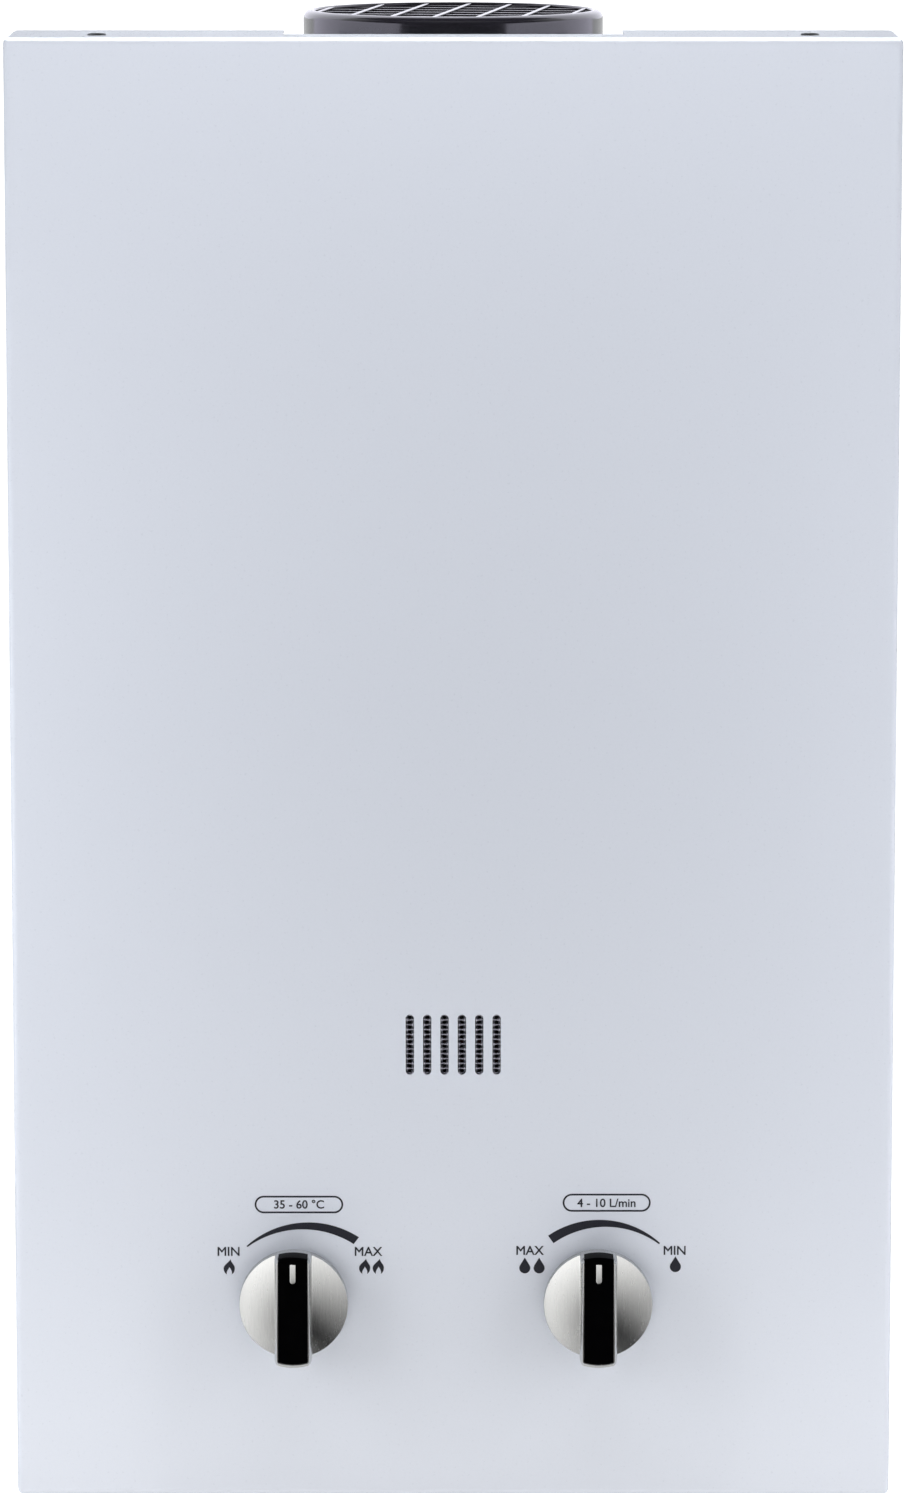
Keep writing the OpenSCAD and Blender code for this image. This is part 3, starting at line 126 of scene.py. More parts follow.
def objectNoise(tree, scale, detail, stretch=None):
    place = makeNode(tree, "ShaderNodeTexCoord").outputs["Object"]
    if stretch is not None:
        place = vectorMaths(tree, "MULTIPLY", place, stretch)
    return makeNode(tree, "ShaderNodeTexNoise", {"Vector": place, "Scale": scale, "Detail": detail}).outputs[0]


def makeGrain():
    tree, given, gives = nodeGroup(
        "fineGrain", "ShaderNodeTree",
        {"Grain": "Float", "Stretch": "Vector", "Low": "Color", "High": "Color", "Smooth": "Float", "Rough": "Float"},
        {"Colour": "Color", "Roughness": "Float", "Height": "Float"})
    noise = objectNoise(tree, given["Grain"], surface["grainDetail"], given["Stretch"])
    wide = stretchValue(tree, noise, 0.0, 1.0, *surface["grainSpan"])
    feed(tree, gives["Colour"], blendColours(tree, wide, given["Low"], given["High"]))
    feed(tree, gives["Roughness"], stretchValue(tree, wide, given["Smooth"], given["Rough"]))
    feed(tree, gives["Height"], wide)
    return tree


# edges found by the bevel take a lighter colour: a painted highlight along edges, also standing for rubbed wear
def makeEdgeHighlightAndWear():
    tree, given, gives = nodeGroup("edgeHighlightAndWear", "ShaderNodeTree", {"Width": "Float", "Amount": "Float"},
                                   {"Mask": "Float"})
    bevel = makeNode(tree, "ShaderNodeBevel", {"Radius": given["Width"]}, samples=4).outputs[0]
    normal = makeNode(tree, "ShaderNodeNewGeometry").outputs["Normal"]
    turned = maths(tree, "SUBTRACT", 1.0, vectorMaths(tree, "DOT_PRODUCT", bevel, normal))
    noise = objectNoise(tree, surface["edgeMarkScale"], surface["edgeMarkDetail"])
    edgeAmount = maths(tree, "MULTIPLY", maths(tree, "MULTIPLY", turned, surface["edgeMarkGain"]), noise)
    feed(tree, gives["Mask"], maths(tree, "MULTIPLY", maths(tree, "MINIMUM", edgeAmount, 1.0), given["Amount"]))
    return tree


def makeDust():
    tree, given, gives = nodeGroup("settledDust", "ShaderNodeTree", {"Amount": "Float", "Grain": "Float"},
                                   {"Mask": "Float"})
    normal = makeNode(tree, "ShaderNodeNewGeometry").outputs["Normal"]
    facing = maths(tree, "MAXIMUM", splitVector(tree, normal)["Z"], 0.0)
    noise = objectNoise(tree, given["Grain"], surface["dustDetail"])
    lying = maths(tree, "MULTIPLY", maths(tree, "POWER", facing, surface["dustFall"]), noise)
    feed(tree, gives["Mask"], maths(tree, "MULTIPLY", lying, given["Amount"]))
    return tree


grainTree, edgeHighlightAndWearTree, dustTree = makeGrain(), makeEdgeHighlightAndWear(), makeDust()


def placeGroup(tree, group, values):
    return makeNode(tree, "ShaderNodeGroup", values, node_tree=group).outputs


def finishLook(name, low, high, smooth, rough, grain=300.0, stretch=(1, 1, 1), bump=0.0, highlightAndWear=None, dust=None,
               **sockets):
    look = bpy.data.materials.new(name)
    look.use_nodes = True
    tree = look.node_tree
    shader = tree.nodes["Principled BSDF"]
    for label, value in sockets.items():
        shader.inputs[label.replace("_", " ")].default_value = value
    skin = placeGroup(tree, grainTree, {"Grain": grain, "Stretch": stretch, "Low": (*low, 1), "High": (*high, 1),
                                        "Smooth": smooth, "Rough": rough})
    colour = skin["Colour"]
    # the edge mark is a width, an amount and a lighter edge colour, a painted highlight along edges that also stands
    # for wear; dust is an amount, a grain and its colour
    for group, spec in ((edgeHighlightAndWearTree, highlightAndWear), (dustTree, dust)):
        if spec:
            mask = placeGroup(tree, group, {0: spec[0], 1: spec[1]})["Mask"]
            colour = blendColours(tree, mask, colour, (*spec[2], 1))
    feed(tree, shader.inputs["Base Color"], colour)
    feed(tree, shader.inputs["Roughness"], skin["Roughness"])
    if bump:
        relief = makeNode(tree, "ShaderNodeBump", {"Strength": surface["bumpStrength"], "Distance": bump,
                                                   "Height": skin["Height"]})
        feed(tree, shader.inputs["Normal"], relief.outputs[0])
    return look


greyDust = (0.25, 90.0, (0.5, 0.49, 0.47))
looks = {
    "casing_white": finishLook(
        "powderCoatWhite", (0.735, 0.772, 0.86), (0.745, 0.782, 0.87), 0.27, 0.31, grain=900.0, bump=0.000006,
        dust=(0.06, 60.0, (0.6, 0.59, 0.57)), Coat_Weight=0.15, Coat_Roughness=0.12),
    # the collar lip and grille bar edges are lightened to grey: a painted highlight
    "flue_black": finishLook(
        "satinBlackEnamel", (0.009, 0.008, 0.012), (0.013, 0.012, 0.017), 0.15, 0.21, grain=900.0, bump=0.000004,
        highlightAndWear=(0.0006, 0.45, (0.22, 0.22, 0.25)), Specular_IOR_Level=0.9,
        Coat_Weight=0.6, Coat_Roughness=0.08),
    "mesh_steel": finishLook(
        "darkSteelWire", (0.20, 0.20, 0.22), (0.32, 0.32, 0.34), 0.16, 0.3, grain=900.0, Metallic=1.0),
    "zinc_steel": finishLook(
        "zincPlate", (0.52, 0.53, 0.55), (0.66, 0.66, 0.66), 0.28, 0.45, grain=420.0, Metallic=1.0,
        highlightAndWear=(0.0004, 0.4, (0.8, 0.8, 0.8)), dust=greyDust),
    "aluminised_steel": finishLook(
        "aluminisedSheet", (0.55, 0.55, 0.56), (0.68, 0.68, 0.68), 0.32, 0.5, grain=160.0, Metallic=1.0,
        dust=greyDust),
    "gasket_fibre": finishLook(
        "fibreGasket", (0.12, 0.11, 0.10), (0.22, 0.21, 0.19), 0.8, 0.95, grain=900.0, bump=0.0002),
    "copper": finishLook(
        "warmCopper", (0.62, 0.27, 0.15), (0.78, 0.40, 0.26), 0.24, 0.46, grain=120.0, Metallic=1.0,
        highlightAndWear=(0.0004, 0.4, (0.9, 0.55, 0.4)), dust=greyDust),
    "stainless": finishLook(
        "stainlessSheet", (0.56, 0.56, 0.56), (0.68, 0.68, 0.67), 0.22, 0.38, grain=90.0, stretch=(1, 1, 14),
        Metallic=1.0),
    "cast_aluminium": finishLook(
        "castAluminium", (0.50, 0.51, 0.52), (0.64, 0.64, 0.65), 0.42, 0.6, grain=700.0, bump=0.00015,
        Metallic=1.0, dust=greyDust),
    "brass": finishLook(
        "turnedBrass", (0.66, 0.46, 0.19), (0.80, 0.60, 0.28), 0.2, 0.36, grain=110.0, stretch=(1, 1, 9),
        Metallic=1.0, highlightAndWear=(0.0004, 0.35, (0.92, 0.76, 0.45))),
    "ceramic": finishLook(
        "glazedCeramic", (0.80, 0.77, 0.71), (0.86, 0.84, 0.79), 0.12, 0.22, grain=220.0, Coat_Weight=0.5),
    "rubber": finishLook("valveRubber", (0.018, 0.018, 0.018), (0.035, 0.035, 0.035), 0.6, 0.8, grain=700.0),
    "black_plastic": finishLook(
        "mouldedBlack", (0.022, 0.022, 0.024), (0.035, 0.035, 0.038), 0.42, 0.58, grain=1400.0, bump=0.00008,
        highlightAndWear=(0.0005, 0.3, (0.12, 0.12, 0.12))),
    # the red silicone leads are darkened to near black: painted shade for the dark inside of the casing
    "red_silicone": finishLook(
        "shadeDarkRedSilicone", (0.03, 0.005, 0.005), (0.045, 0.008, 0.008), 0.45, 0.6, grain=500.0, Sheen_Weight=0.2),
    "cell_jacket": finishLook(
        "cellJacket", (0.10, 0.13, 0.18), (0.14, 0.17, 0.23), 0.2, 0.32, grain=60.0, Coat_Weight=0.4),
    # the knob shell and pointer edges are lightened near white: a painted highlight
    "satin_nickel": finishLook(
        "satinNickel", (0.65, 0.65, 0.64), (0.69, 0.69, 0.675), 0.22, 0.28, grain=60.0, stretch=(26, 26, 1),
        bump=0.0000015, Metallic=1.0, highlightAndWear=(0.0006, 0.7, (0.92, 0.92, 0.91))),
    "insert_black": finishLook(
        "pianoBlack", (0.0007, 0.0007, 0.0009), (0.0012, 0.0012, 0.0015), 0.08, 0.14, grain=240.0,
        Specular_IOR_Level=0.005),
}
printInk = finishLook("printInk", (0.016, 0.017, 0.026), (0.034, 0.035, 0.048), 0.4, 0.55, grain=2600.0)
slotOf = {part["node"]: part["material_slot"] for part in frame["record"]["subparts"]}
for node, piece in nodes.items():
    piece.material_slots[0].material = looks[slotOf[node]]
print("finishes:", len(looks), "looks on the solids")

# mesh helpers; distances in metres
merge = {"built": 1e-7, "solid": 2e-6, "flat": 0.006}


def boxOf(node):
    low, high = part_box(node)
    return low, high, (low + high) / 2


def finishPiece(name, mesh, body, slot, replaced=(), sharp=32.0, look=None):
    mesh.materials.clear()
    mesh.materials.append(look or looks[slot])
    mesh.shade_smooth()
    mesh.set_sharp_from_angle(angle=math.radians(sharp))
    piece = bpy.data.objects.new(name, mesh)
    scene.collection.objects.link(piece)
    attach(piece, body)
    if replaced:
        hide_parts(*replaced)
    return piece


def keepMesh(name, work):
    mesh = bpy.data.meshes.new(name)
    work.to_mesh(mesh)
    work.free()
    return mesh


def meshFrom(name, work):
    bmesh.ops.remove_doubles(work, verts=work.verts, dist=merge["built"])
    bmesh.ops.recalc_face_normals(work, faces=work.faces)
    return keepMesh(name, work)


def solidCopy(node):
    work = bmesh.new()
    work.from_mesh(nodes[node].data)
    bmesh.ops.remove_doubles(work, verts=work.verts, dist=merge["solid"])
    return work


def mergedCopy(name, node):
    work = solidCopy(node)
    bmesh.ops.dissolve_limit(work, angle_limit=merge["flat"], verts=work.verts, edges=work.edges)
    mesh = keepMesh(name, work)
    if "custom_normal" in mesh.attributes:
        mesh.attributes.remove(mesh.attributes["custom_normal"])
    return mesh


def turnsOf(steps):
    return [2 * math.pi * i / steps for i in range(steps)]


def polar(radius, turn, height):
    return Vector((radius * math.cos(turn), radius * math.sin(turn), height))


def arcRun(middle, radius, start, sweep, steps):
    # points along an arc, both ends included; two radii give an ellipse
    wide, tall = radius if isinstance(radius, tuple) else (radius, radius)
    turns = [start + sweep * i / steps for i in range(steps + 1)]
    return [(middle[0] + wide * math.cos(turn), middle[1] + tall * math.sin(turn)) for turn in turns]


def loftInto(work, rings, loop=False, caps=False):
    # closed rings of points, joined in order; loop joins the last to the first, caps fills both ends
    rows = [[work.verts.new(point) for point in ring] for ring in rings]
    for low, high in zip(rows, rows[1:] + rows[:1] if loop else rows[1:]):
        for i in range(len(low)):
            k = (i + 1) % len(low)
            work.faces.new((low[i], low[k], high[k], high[i]))
    if caps:
        work.faces.new(rows[0])
        work.faces.new(rows[-1])
    return rows


def latheInto(work, profile, steps, place):
    loftInto(work, [[place @ polar(radius, turn, height) for turn in turnsOf(steps)] for radius, height in profile])


# casing: the bent sheets keep their solids, with smooth bends
casing = {"front_cover": "frontCover", "back_shell": "backShell", "roof_panel": "roofPanel",
          "floor_panel": "floorPanel"}
for node, name in casing.items():
    finishPiece(name, mergedCopy(name, node), "casing", "casing_white", [node])
print("casing:", len(casing), "sheets")

# flue collar: a spun ring with a flat foot, a round shoulder and a rolled inner lip, in mm
collar = {"radius": 56.5, "bore": 53.9, "foot": 1.2, "ease": 0.4, "fillet": 0.6, "rim": 3.4, "shoulder": 3.0,
          "lip": 52.2, "roll": 0.8, "under": 2.2, "steps": 192}


def collarProfile(foot, low, high):
    wall, bore, ease, fillet, lip = (collar[key] for key in ("radius", "bore", "ease", "fillet", "lip"))
    rim, shoulder, roll = (collar[key] for key in ("rim", "shoulder", "roll"))
    step, under, rimMiddle = low + collar["foot"], high - collar["under"], wall - rim
    profile = [(bore, low), (foot, low), (foot, step - ease), (foot - ease, step)]
    profile += arcRun((wall + fillet, step + fillet), fillet, -quarterTurn, -quarterTurn, 4)
    profile += arcRun((rimMiddle, high - shoulder), (rim, shoulder), 0, quarterTurn, 12)
    profile += arcRun((rimMiddle, high - roll), (rimMiddle - lip, roll), quarterTurn, quarterTurn, 6)[1:]
    return profile + [(lip, under), (lip + ease, under - ease), (bore, under - (bore - lip)), (bore, low)]


low, high, middle = boxOf("flue_collar")
work = bmesh.new()
latheInto(work, collarProfile((high.x - low.x) / 2 / mm, low.z / mm, high.z / mm), collar["steps"],
          Matrix.Translation((middle.x, middle.y, 0)) @ Matrix.Scale(mm, 4))
finishPiece("flueCollar", meshFrom("flueCollar", work), "casing", "flue_black", ["flue_collar"], sharp=50.0)
print("collar:", round((high.x - low.x) / mm, 1), "mm over its foot")

# knobs: nickel dome with a grip bar, a black insert and a pointer; in mm from the panel outwards
knob = {"radius": 20.5, "gap": 1.6, "crown": 9.6, "rise": 3.5, "domeEdge": 20.3, "domeSteps": 24, "top": 19.6,
        "steps": 128,
        "skirt": [(0, 1.6), (5.5, 1.6), (5.5, 4.1), (18.5, 4.1), (18.5, 1.9), (18.8, 1.6), (20.0, 1.6), (20.35, 1.75),
                  (20.5, 2.1), (20.5, 5.75), (20.44, 5.96)],
        "grip": {"width": 14.0, "radius": 21.2, "corner": 1.9, "least": 0.15, "rim": 1.5,
                 # inset of the sides, inset of the lower end, height
                 "levels": [(0.3, 0.3, 5.1), (0.05, 0.05, 5.2), (0, 0, 5.5), (0, 0, 14.6), (0.225, 0, 17.2),
                            (0.6, 0.08, 18.65), (0.75, 0.95, 19.2), (0.85, 1.05, 19.44), (1.01, 1.15, 19.58),
                            (1.17, 1.3, 19.6), (1.33, 1.45, 19.55), (1.43, 1.55, 19.38), (1.5, 1.64, 18.9)],
                 "seat": {"from": 12.0, "back": 0.4, "drop": 0.75, "play": 0.02}},
        "insert": {"columns": 16, "rows": 18, "bend": 1.1, "wrap": 9.5, "low": 1.67, "proud": 0.04, "sink": 0.14,
                   "play": 0.03, "flat": 0.85, "thick": 0.5, "faceTo": 1.2, "turnAt": 0.25, "behind": (0.6, 0.3)},
        "pointer": {"width": 2.2, "length": 7.4, "margin": 2.5,
                    # inset and height of each ring
                    "levels": [(0, 19.06), (0, 19.7), (0.08, 19.82), (0.28, 19.89)]}}


def gripRing(inset, steps=14):
    # outline of the grip bar drawn in by inset, corners rounded, counter-clockwise from the right
    grip = knob["grip"]
    radius = grip["radius"] - inset
    corner = max(grip["corner"] - inset, grip["least"])
    middle = grip["width"] / 2 - inset - corner
    reach = math.sqrt((radius - corner) ** 2 - middle ** 2)
    lean = math.atan2(middle, reach)
    upper = arcRun((middle, reach), corner, 0, quarterTurn - lean, steps)
    upper += arcRun((0, 0), radius, quarterTurn - lean, 2 * lean, 2 * steps)[1:-1]
    upper += arcRun((-middle, reach), corner, quarterTurn + lean, quarterTurn - lean, steps)
    return upper + [(-x, -y) for x, y in upper]


def knobFrame(body):
    # knob's own axes: x across, y up the panel, z out of the panel
    low, high, middle = boxOf(body)
    return Matrix(((mm, 0, 0, middle.x), (0, 0, -mm, high.y + knob["gap"] * mm), (0, mm, 0, middle.z), (0, 0, 0, 1)))


def shellInto(work, place):
    domeRadius = (knob["radius"] ** 2 + knob["rise"] ** 2) / (2 * knob["rise"])
    steps = knob["domeSteps"]
    dome = [knob["domeEdge"] * i / steps for i in range(steps, -1, -1)]
    profile = knob["skirt"] + [(r, knob["crown"] - domeRadius + math.sqrt(domeRadius ** 2 - r ** 2)) for r in dome]
    latheInto(work, profile, knob["steps"], place)
    # grip bar: walls with a little draft, a bright rim, then down into the seat of the insert
    top, seat, insert = knob["top"], knob["grip"]["seat"], knob["insert"]
    half = knob["grip"]["width"] / 2 - knob["grip"]["rim"] - insert["play"] + seat["play"]
    rings = []
    for inset, endInset, height in knob["grip"]["levels"]:
        ring = []
        for x, y in gripRing(inset):
            y += endInset - inset if y < 0 else 0
            seated = y > seat["from"] and abs(x) < half and height > top - insert["wrap"]
            at = (x, y - seat["back"], min(height, top - seat["drop"])) if seated else (x, y, height)
            ring.append(place @ Vector(at))
        rings.append(ring)
    loftInto(work, rings, caps=True)


def insertInto(work, place):
    # a strip over the bar's face that turns down over its upper end
    insert, top, radius = knob["insert"], knob["top"], knob["grip"]["radius"]
    columns, rows, bend, sink, flat = (insert[key] for key in ("columns", "rows", "bend", "sink", "flat"))
    half = knob["grip"]["width"] / 2 - knob["grip"]["rim"] - insert["play"]
    grid = []
    for c in range(columns + 1):
        x = half * (2 * c / columns - 1)
        y0 = -math.sqrt((radius - insert["low"]) ** 2 - x ** 2)
        yEnd = math.sqrt((radius + insert["proud"]) ** 2 - x ** 2)
        y1 = yEnd - bend
        column = [(x, y0 + (y1 - y0) * i / rows, top - sink + sink * max(0.0, i / rows - flat) / (1 - flat))
                  for i in range(rows + 1)]
        column += [(x, y, z) for y, z in arcRun((y1, top - bend), bend, quarterTurn, -quarterTurn, 8)[1:]]
        grid.append(column + [(x, yEnd, top - insert["wrap"])])
    outer = [[work.verts.new(place @ Vector(point)) for point in column] for column in grid]
    (lowBack, highBack), thick = insert["behind"], insert["thick"]
    turnAt, faceTo = top - insert["turnAt"], top - insert["faceTo"]
    inner = [[work.verts.new(place @ Vector((x, y - (lowBack if z < turnAt else highBack),
                                             z - (thick if z > faceTo else 0)))) for x, y, z in column]
             for column in grid]
    last = len(grid[0]) - 1
    for c in range(columns):
        for sheet in (outer, inner):
            for r in range(last):
                work.faces.new((sheet[c][r], sheet[c + 1][r], sheet[c + 1][r + 1], sheet[c][r + 1]))
        for r in (0, last):
            work.faces.new((outer[c][r], outer[c + 1][r], inner[c + 1][r], inner[c][r]))
    for r in range(last):
        for c in (0, columns):
            work.faces.new((outer[c][r], outer[c][r + 1], inner[c][r + 1], inner[c][r]))


def pointerInto(work, place):
    # a small bar, round at its lower end
    pointer = knob["pointer"]
    y1 = knob["grip"]["radius"] - pointer["margin"]
    bottom = y1 - pointer["length"] + pointer["width"] / 2
    rings = []
    for inset, height in pointer["levels"]:
        half = pointer["width"] / 2 - inset
        outline = [(half, y1 - inset), (-half, y1 - inset)] + arcRun((0, bottom), half, math.pi, math.pi, 12)
        rings.append([place @ Vector((x, y, height)) for x, y in outline])
    loftInto(work, rings, caps=True)


for side in ("gas", "water"):
    body = side + "_knob"
    for part, makeInto, slot, node in (("Shell", shellInto, "satin_nickel", body),
                                       ("Insert", insertInto, "insert_black", body + "_insert"),
                                       ("Pointer", pointerInto, "satin_nickel", body + "_pointer")):
        work = bmesh.new()
        makeInto(work, knobFrame(body))
        name = side + "Knob" + part
        finishPiece(name, meshFrom(name, work), body, slot, [node])
print("knobs: two, with inserts and pointers")

# printed marks, thin ink on the front panel; sizes in mm from the photo
marks = {"front": -160.0, "ink": 0.05, "sunk": 0.02, "stroke": 0.66, "bold": 0.06, "titleSize": 4.5,
         "titleRise": 1.85, "wordSize": 4.9, "drop": (4.15, 6.1), "flame": (4.2, 5.9), "arcSteps": 48,
         "dropSteps": 30,
         "gas": {"pill": (-74.65, -165.6, -41.35, -158.9), "title": "35 - 60 °C",
                 "arcOut": ((-77.85, -178.3), (-54.05, -169.15), (-35.5, -174.85)),
                 "arcIn": ((-77.4, -178.6), (-54.05, -171.9), (-37.45, -177.5)),
                 "words": ((-84.55, -182.0, "MIN"), (-32.05, -182.0, "MAX")),
                 "icons": ((-84.35, -189.2), (-33.35, -189.0), (-28.2, -189.0))},
         "water": {"pill": (41.15, -165.0, 74.25, -158.1), "title": "4 - 10 L/min",
                   "arcOut": ((77.85, -177.1), (55.2, -168.15), (35.7, -174.25)),
                   "arcIn": ((77.4, -177.5), (55.2, -170.9), (37.75, -177.15)),
                   "words": ((28.75, -181.6, "MAX"), (83.35, -181.6, "MIN")),
                   "icons": ((26.95, -188.8), (32.35, -188.8), (83.65, -188.3))}}


def arcThrough(a, b, c):
    # arc from a to c through b
    (ax, ay), (bx, by), (cx, cy) = a, b, c
    aa, bb, cc = (x ** 2 + y ** 2 for x, y in (a, b, c))
    d = 2 * (ax * (by - cy) + bx * (cy - ay) + cx * (ay - by))
    x = (aa * (by - cy) + bb * (cy - ay) + cc * (ay - by)) / d
    y = (aa * (cx - bx) + bb * (ax - cx) + cc * (bx - ax)) / d
    first, last = math.atan2(ay - y, ax - x), math.atan2(cy - y, cx - x)
    return arcRun((x, y), math.hypot(ax - x, ay - y), first, last - first, marks["arcSteps"])


def pillPoints(x0, z0, x1, z1, inset, steps=14):
    radius, middle = (z1 - z0) / 2 - inset, (z0 + z1) / 2
    return (arcRun((x1 - inset - radius, middle), radius, -quarterTurn, math.pi, steps)
            + arcRun((x0 + inset + radius, middle), radius, quarterTurn, math.pi, steps))


def curvePoints(corners, steps=10):
    # each corner is a point with its handle in and its handle out
    points = []
    for (a, out), (b, into) in zip(corners, corners[1:]):
        for i in range(steps):
            t = i / steps
            pulls = ((1 - t) ** 3, a), (3 * t * (1 - t) ** 2, out[1]), (3 * t * t * (1 - t), into[0]), (t ** 3, b)
            points.append(tuple(sum(share * point[k] for share, point in pulls) for k in (0, 1)))
    return points


def dropPoints(x, z):
    width, height = marks["drop"]
    radius = width / 2
    lean = math.asin(radius / (height - radius))
    bowl = arcRun((x, z + radius), radius, math.pi - lean, math.pi + 2 * lean, marks["dropSteps"])
    return [(x, z + height)] + bowl


def flamePoints(x, z):
    width, height = marks["flame"]
    shape = [((-0.2, 0.0), ((-0.2, 0.0), (-0.36, 0.06))), ((-0.5, 0.4), ((-0.5, 0.2), (-0.5, 0.62))),
             ((0.13, 1.0), ((0.0, 0.8), (0.16, 0.78))), ((0.5, 0.42), ((0.5, 0.62), (0.5, 0.22))),
             ((0.21, 0.0), ((0.4, 0.06), (0.3, 0.14))), ((0.01, 0.49), ((0.2, 0.3), (-0.02, 0.34))),
             ((-0.2, 0.0), ((-0.3, 0.22), (-0.2, 0.0)))]
    return [(x + width * px, z + height * pz) for px, pz in curvePoints(shape)]


def inkLine(points, depth):
    return [Vector((x * mm, (marks["front"] + depth) * mm, z * mm)) for x, z in points]


def inkFace(work, points):
    loftInto(work, [inkLine(points, -marks["ink"]), inkLine(points, marks["sunk"])], caps=True)


def inkStrip(work, first, second, closed=False):
    ink, sunk = -marks["ink"], marks["sunk"]
    rails = [inkLine(first, ink), inkLine(second, ink), inkLine(second, sunk), inkLine(first, sunk)]
    loftInto(work, list(zip(*rails)), loop=closed, caps=not closed)


def inkWord(words, x, z, size):
    curve = bpy.data.curves.new("wordCurve", "FONT")
    curve.body, curve.size, curve.align_x = words, size * mm, "CENTER"
    curve.extrude, curve.bevel_depth, curve.bevel_resolution = marks["ink"] / 2 * mm, marks["bold"] * mm, 0
    carrier = bpy.data.objects.new("wordCurve", curve)
    scene.collection.objects.link(carrier)
    mesh = bpy.data.meshes.new_from_object(carrier.evaluated_get(bpy.context.evaluated_depsgraph_get()))
    bpy.data.objects.remove(carrier)
    mesh.transform(Matrix.Translation((x * mm, (marks["front"] - marks["ink"] / 2) * mm, z * mm))
                   @ Matrix.Rotation(quarterTurn, 4, "X"))
    return mesh


for side, iconPoints in (("gas", flamePoints), ("water", dropPoints)):
    spec = marks[side]
    work = bmesh.new()
    inkStrip(work, pillPoints(*spec["pill"], 0), pillPoints(*spec["pill"], marks["stroke"]), closed=True)
    inkStrip(work, arcThrough(*spec["arcOut"]), arcThrough(*spec["arcIn"]))
    for x, z in spec["icons"]:
        inkFace(work, iconPoints(x, z))
    bmesh.ops.recalc_face_normals(work, faces=work.faces)
    x0, z0, x1, z1 = spec["pill"]
    words = [((x0 + x1) / 2, z0 + marks["titleRise"], spec["title"], marks["titleSize"])]
    for x, z, word, size in words + [(*entry, marks["wordSize"]) for entry in spec["words"]]:
        mesh = inkWord(word, x, z, size)
        work.from_mesh(mesh)
        bpy.data.meshes.remove(mesh)
    bmesh.ops.remove_doubles(work, verts=work.verts, dist=merge["built"])
    finishPiece(side + "Marks", keepMesh(side + "Marks", work), "casing", "insert_black", look=printInk)
print("marks: printed round both knobs")


# helpers for geometry nodes

def shapeGroup(name, **inputs):
    return nodeGroup(name, "GeometryNodeTree", inputs, {"Geometry": "Geometry"})


def endShape(tree, given, gives, shape):
    real = makeNode(tree, "GeometryNodeRealizeInstances", {0: shape}).outputs[0]
    painted = makeNode(tree, "GeometryNodeSetMaterial", {"Geometry": real, "Material": given["Finish"]})
    feed(tree, gives["Geometry"], painted.outputs[0])
    return tree


def vector(tree, **parts):
    return makeNode(tree, "ShaderNodeCombineXYZ", parts).outputs[0]


def turnBy(tree, angles):
    return makeNode(tree, "FunctionNodeEulerToRotation", {0: angles}).outputs[0]


def positionParts(tree):
    return splitVector(tree, makeNode(tree, "GeometryNodeInputPosition").outputs[0])


def formOf(tree, carrier):
    return makeNode(tree, "GeometryNodeObjectInfo", {"Object": carrier}).outputs["Geometry"]


def pointRow(tree, axis, count, pitch, shift=0.0):
    # points at even steps along an axis, about its middle
    first = maths(tree, "MULTIPLY_ADD", maths(tree, "MULTIPLY_ADD", count, -0.5, 0.5), pitch, shift)
    return makeNode(tree, "GeometryNodeMeshLine", {"Count": count, "Start Location": vector(tree, **{axis: first}),
                                                   "Offset": vector(tree, **{axis: pitch})}).outputs[0]


def copiesOn(tree, points, form, **more):
    return makeNode(tree, "GeometryNodeInstanceOnPoints", {"Points": points, "Instance": form, **more}).outputs[0]


def sweepWire(tree, path, offset, wire, sides):
    # the path is bent by the offset and swept with a round wire
    bent = makeNode(tree, "GeometryNodeSetPosition", {"Geometry": path, "Offset": offset}).outputs[0]
    ring = makeNode(tree, "GeometryNodeCurvePrimitiveCircle", {"Resolution": sides, "Radius": wire}).outputs[0]
    return makeNode(tree, "GeometryNodeCurveToMesh", {"Curve": bent, "Profile Curve": ring,
                                                      "Fill Caps": True}).outputs[0]


def growMesh(name, tree, base=None, **values):
    carrier = bpy.data.objects.new(name + "Carrier", base or bpy.data.meshes.new(name + "Seed"))
    scene.collection.objects.link(carrier)
    modifier = carrier.modifiers.new("grow", "NODES")
    modifier.node_group = tree
    for socket in tree.interface.items_tree:
        if socket.item_type == "SOCKET" and socket.in_out == "INPUT" and socket.name in values:
            modifier[socket.identifier] = values[socket.name]
    mesh = bpy.data.meshes.new_from_object(carrier.evaluated_get(bpy.context.evaluated_depsgraph_get()))
    carrier.modifiers.clear()
    bpy.data.objects.remove(carrier)
    mesh.name = name
    return mesh


# wire mesh behind the sight slots, woven over and under
weave = {"sizes": {"Across": 6.5 / 3 * mm, "Up": 1.85 * mm, "Wire": 0.5 * mm, "Wave": 0.3 * mm, "Columns": 21,
                   "Rows": 19}, "behind": 0.06 * mm, "perPitch": 6.0, "sides": 10}


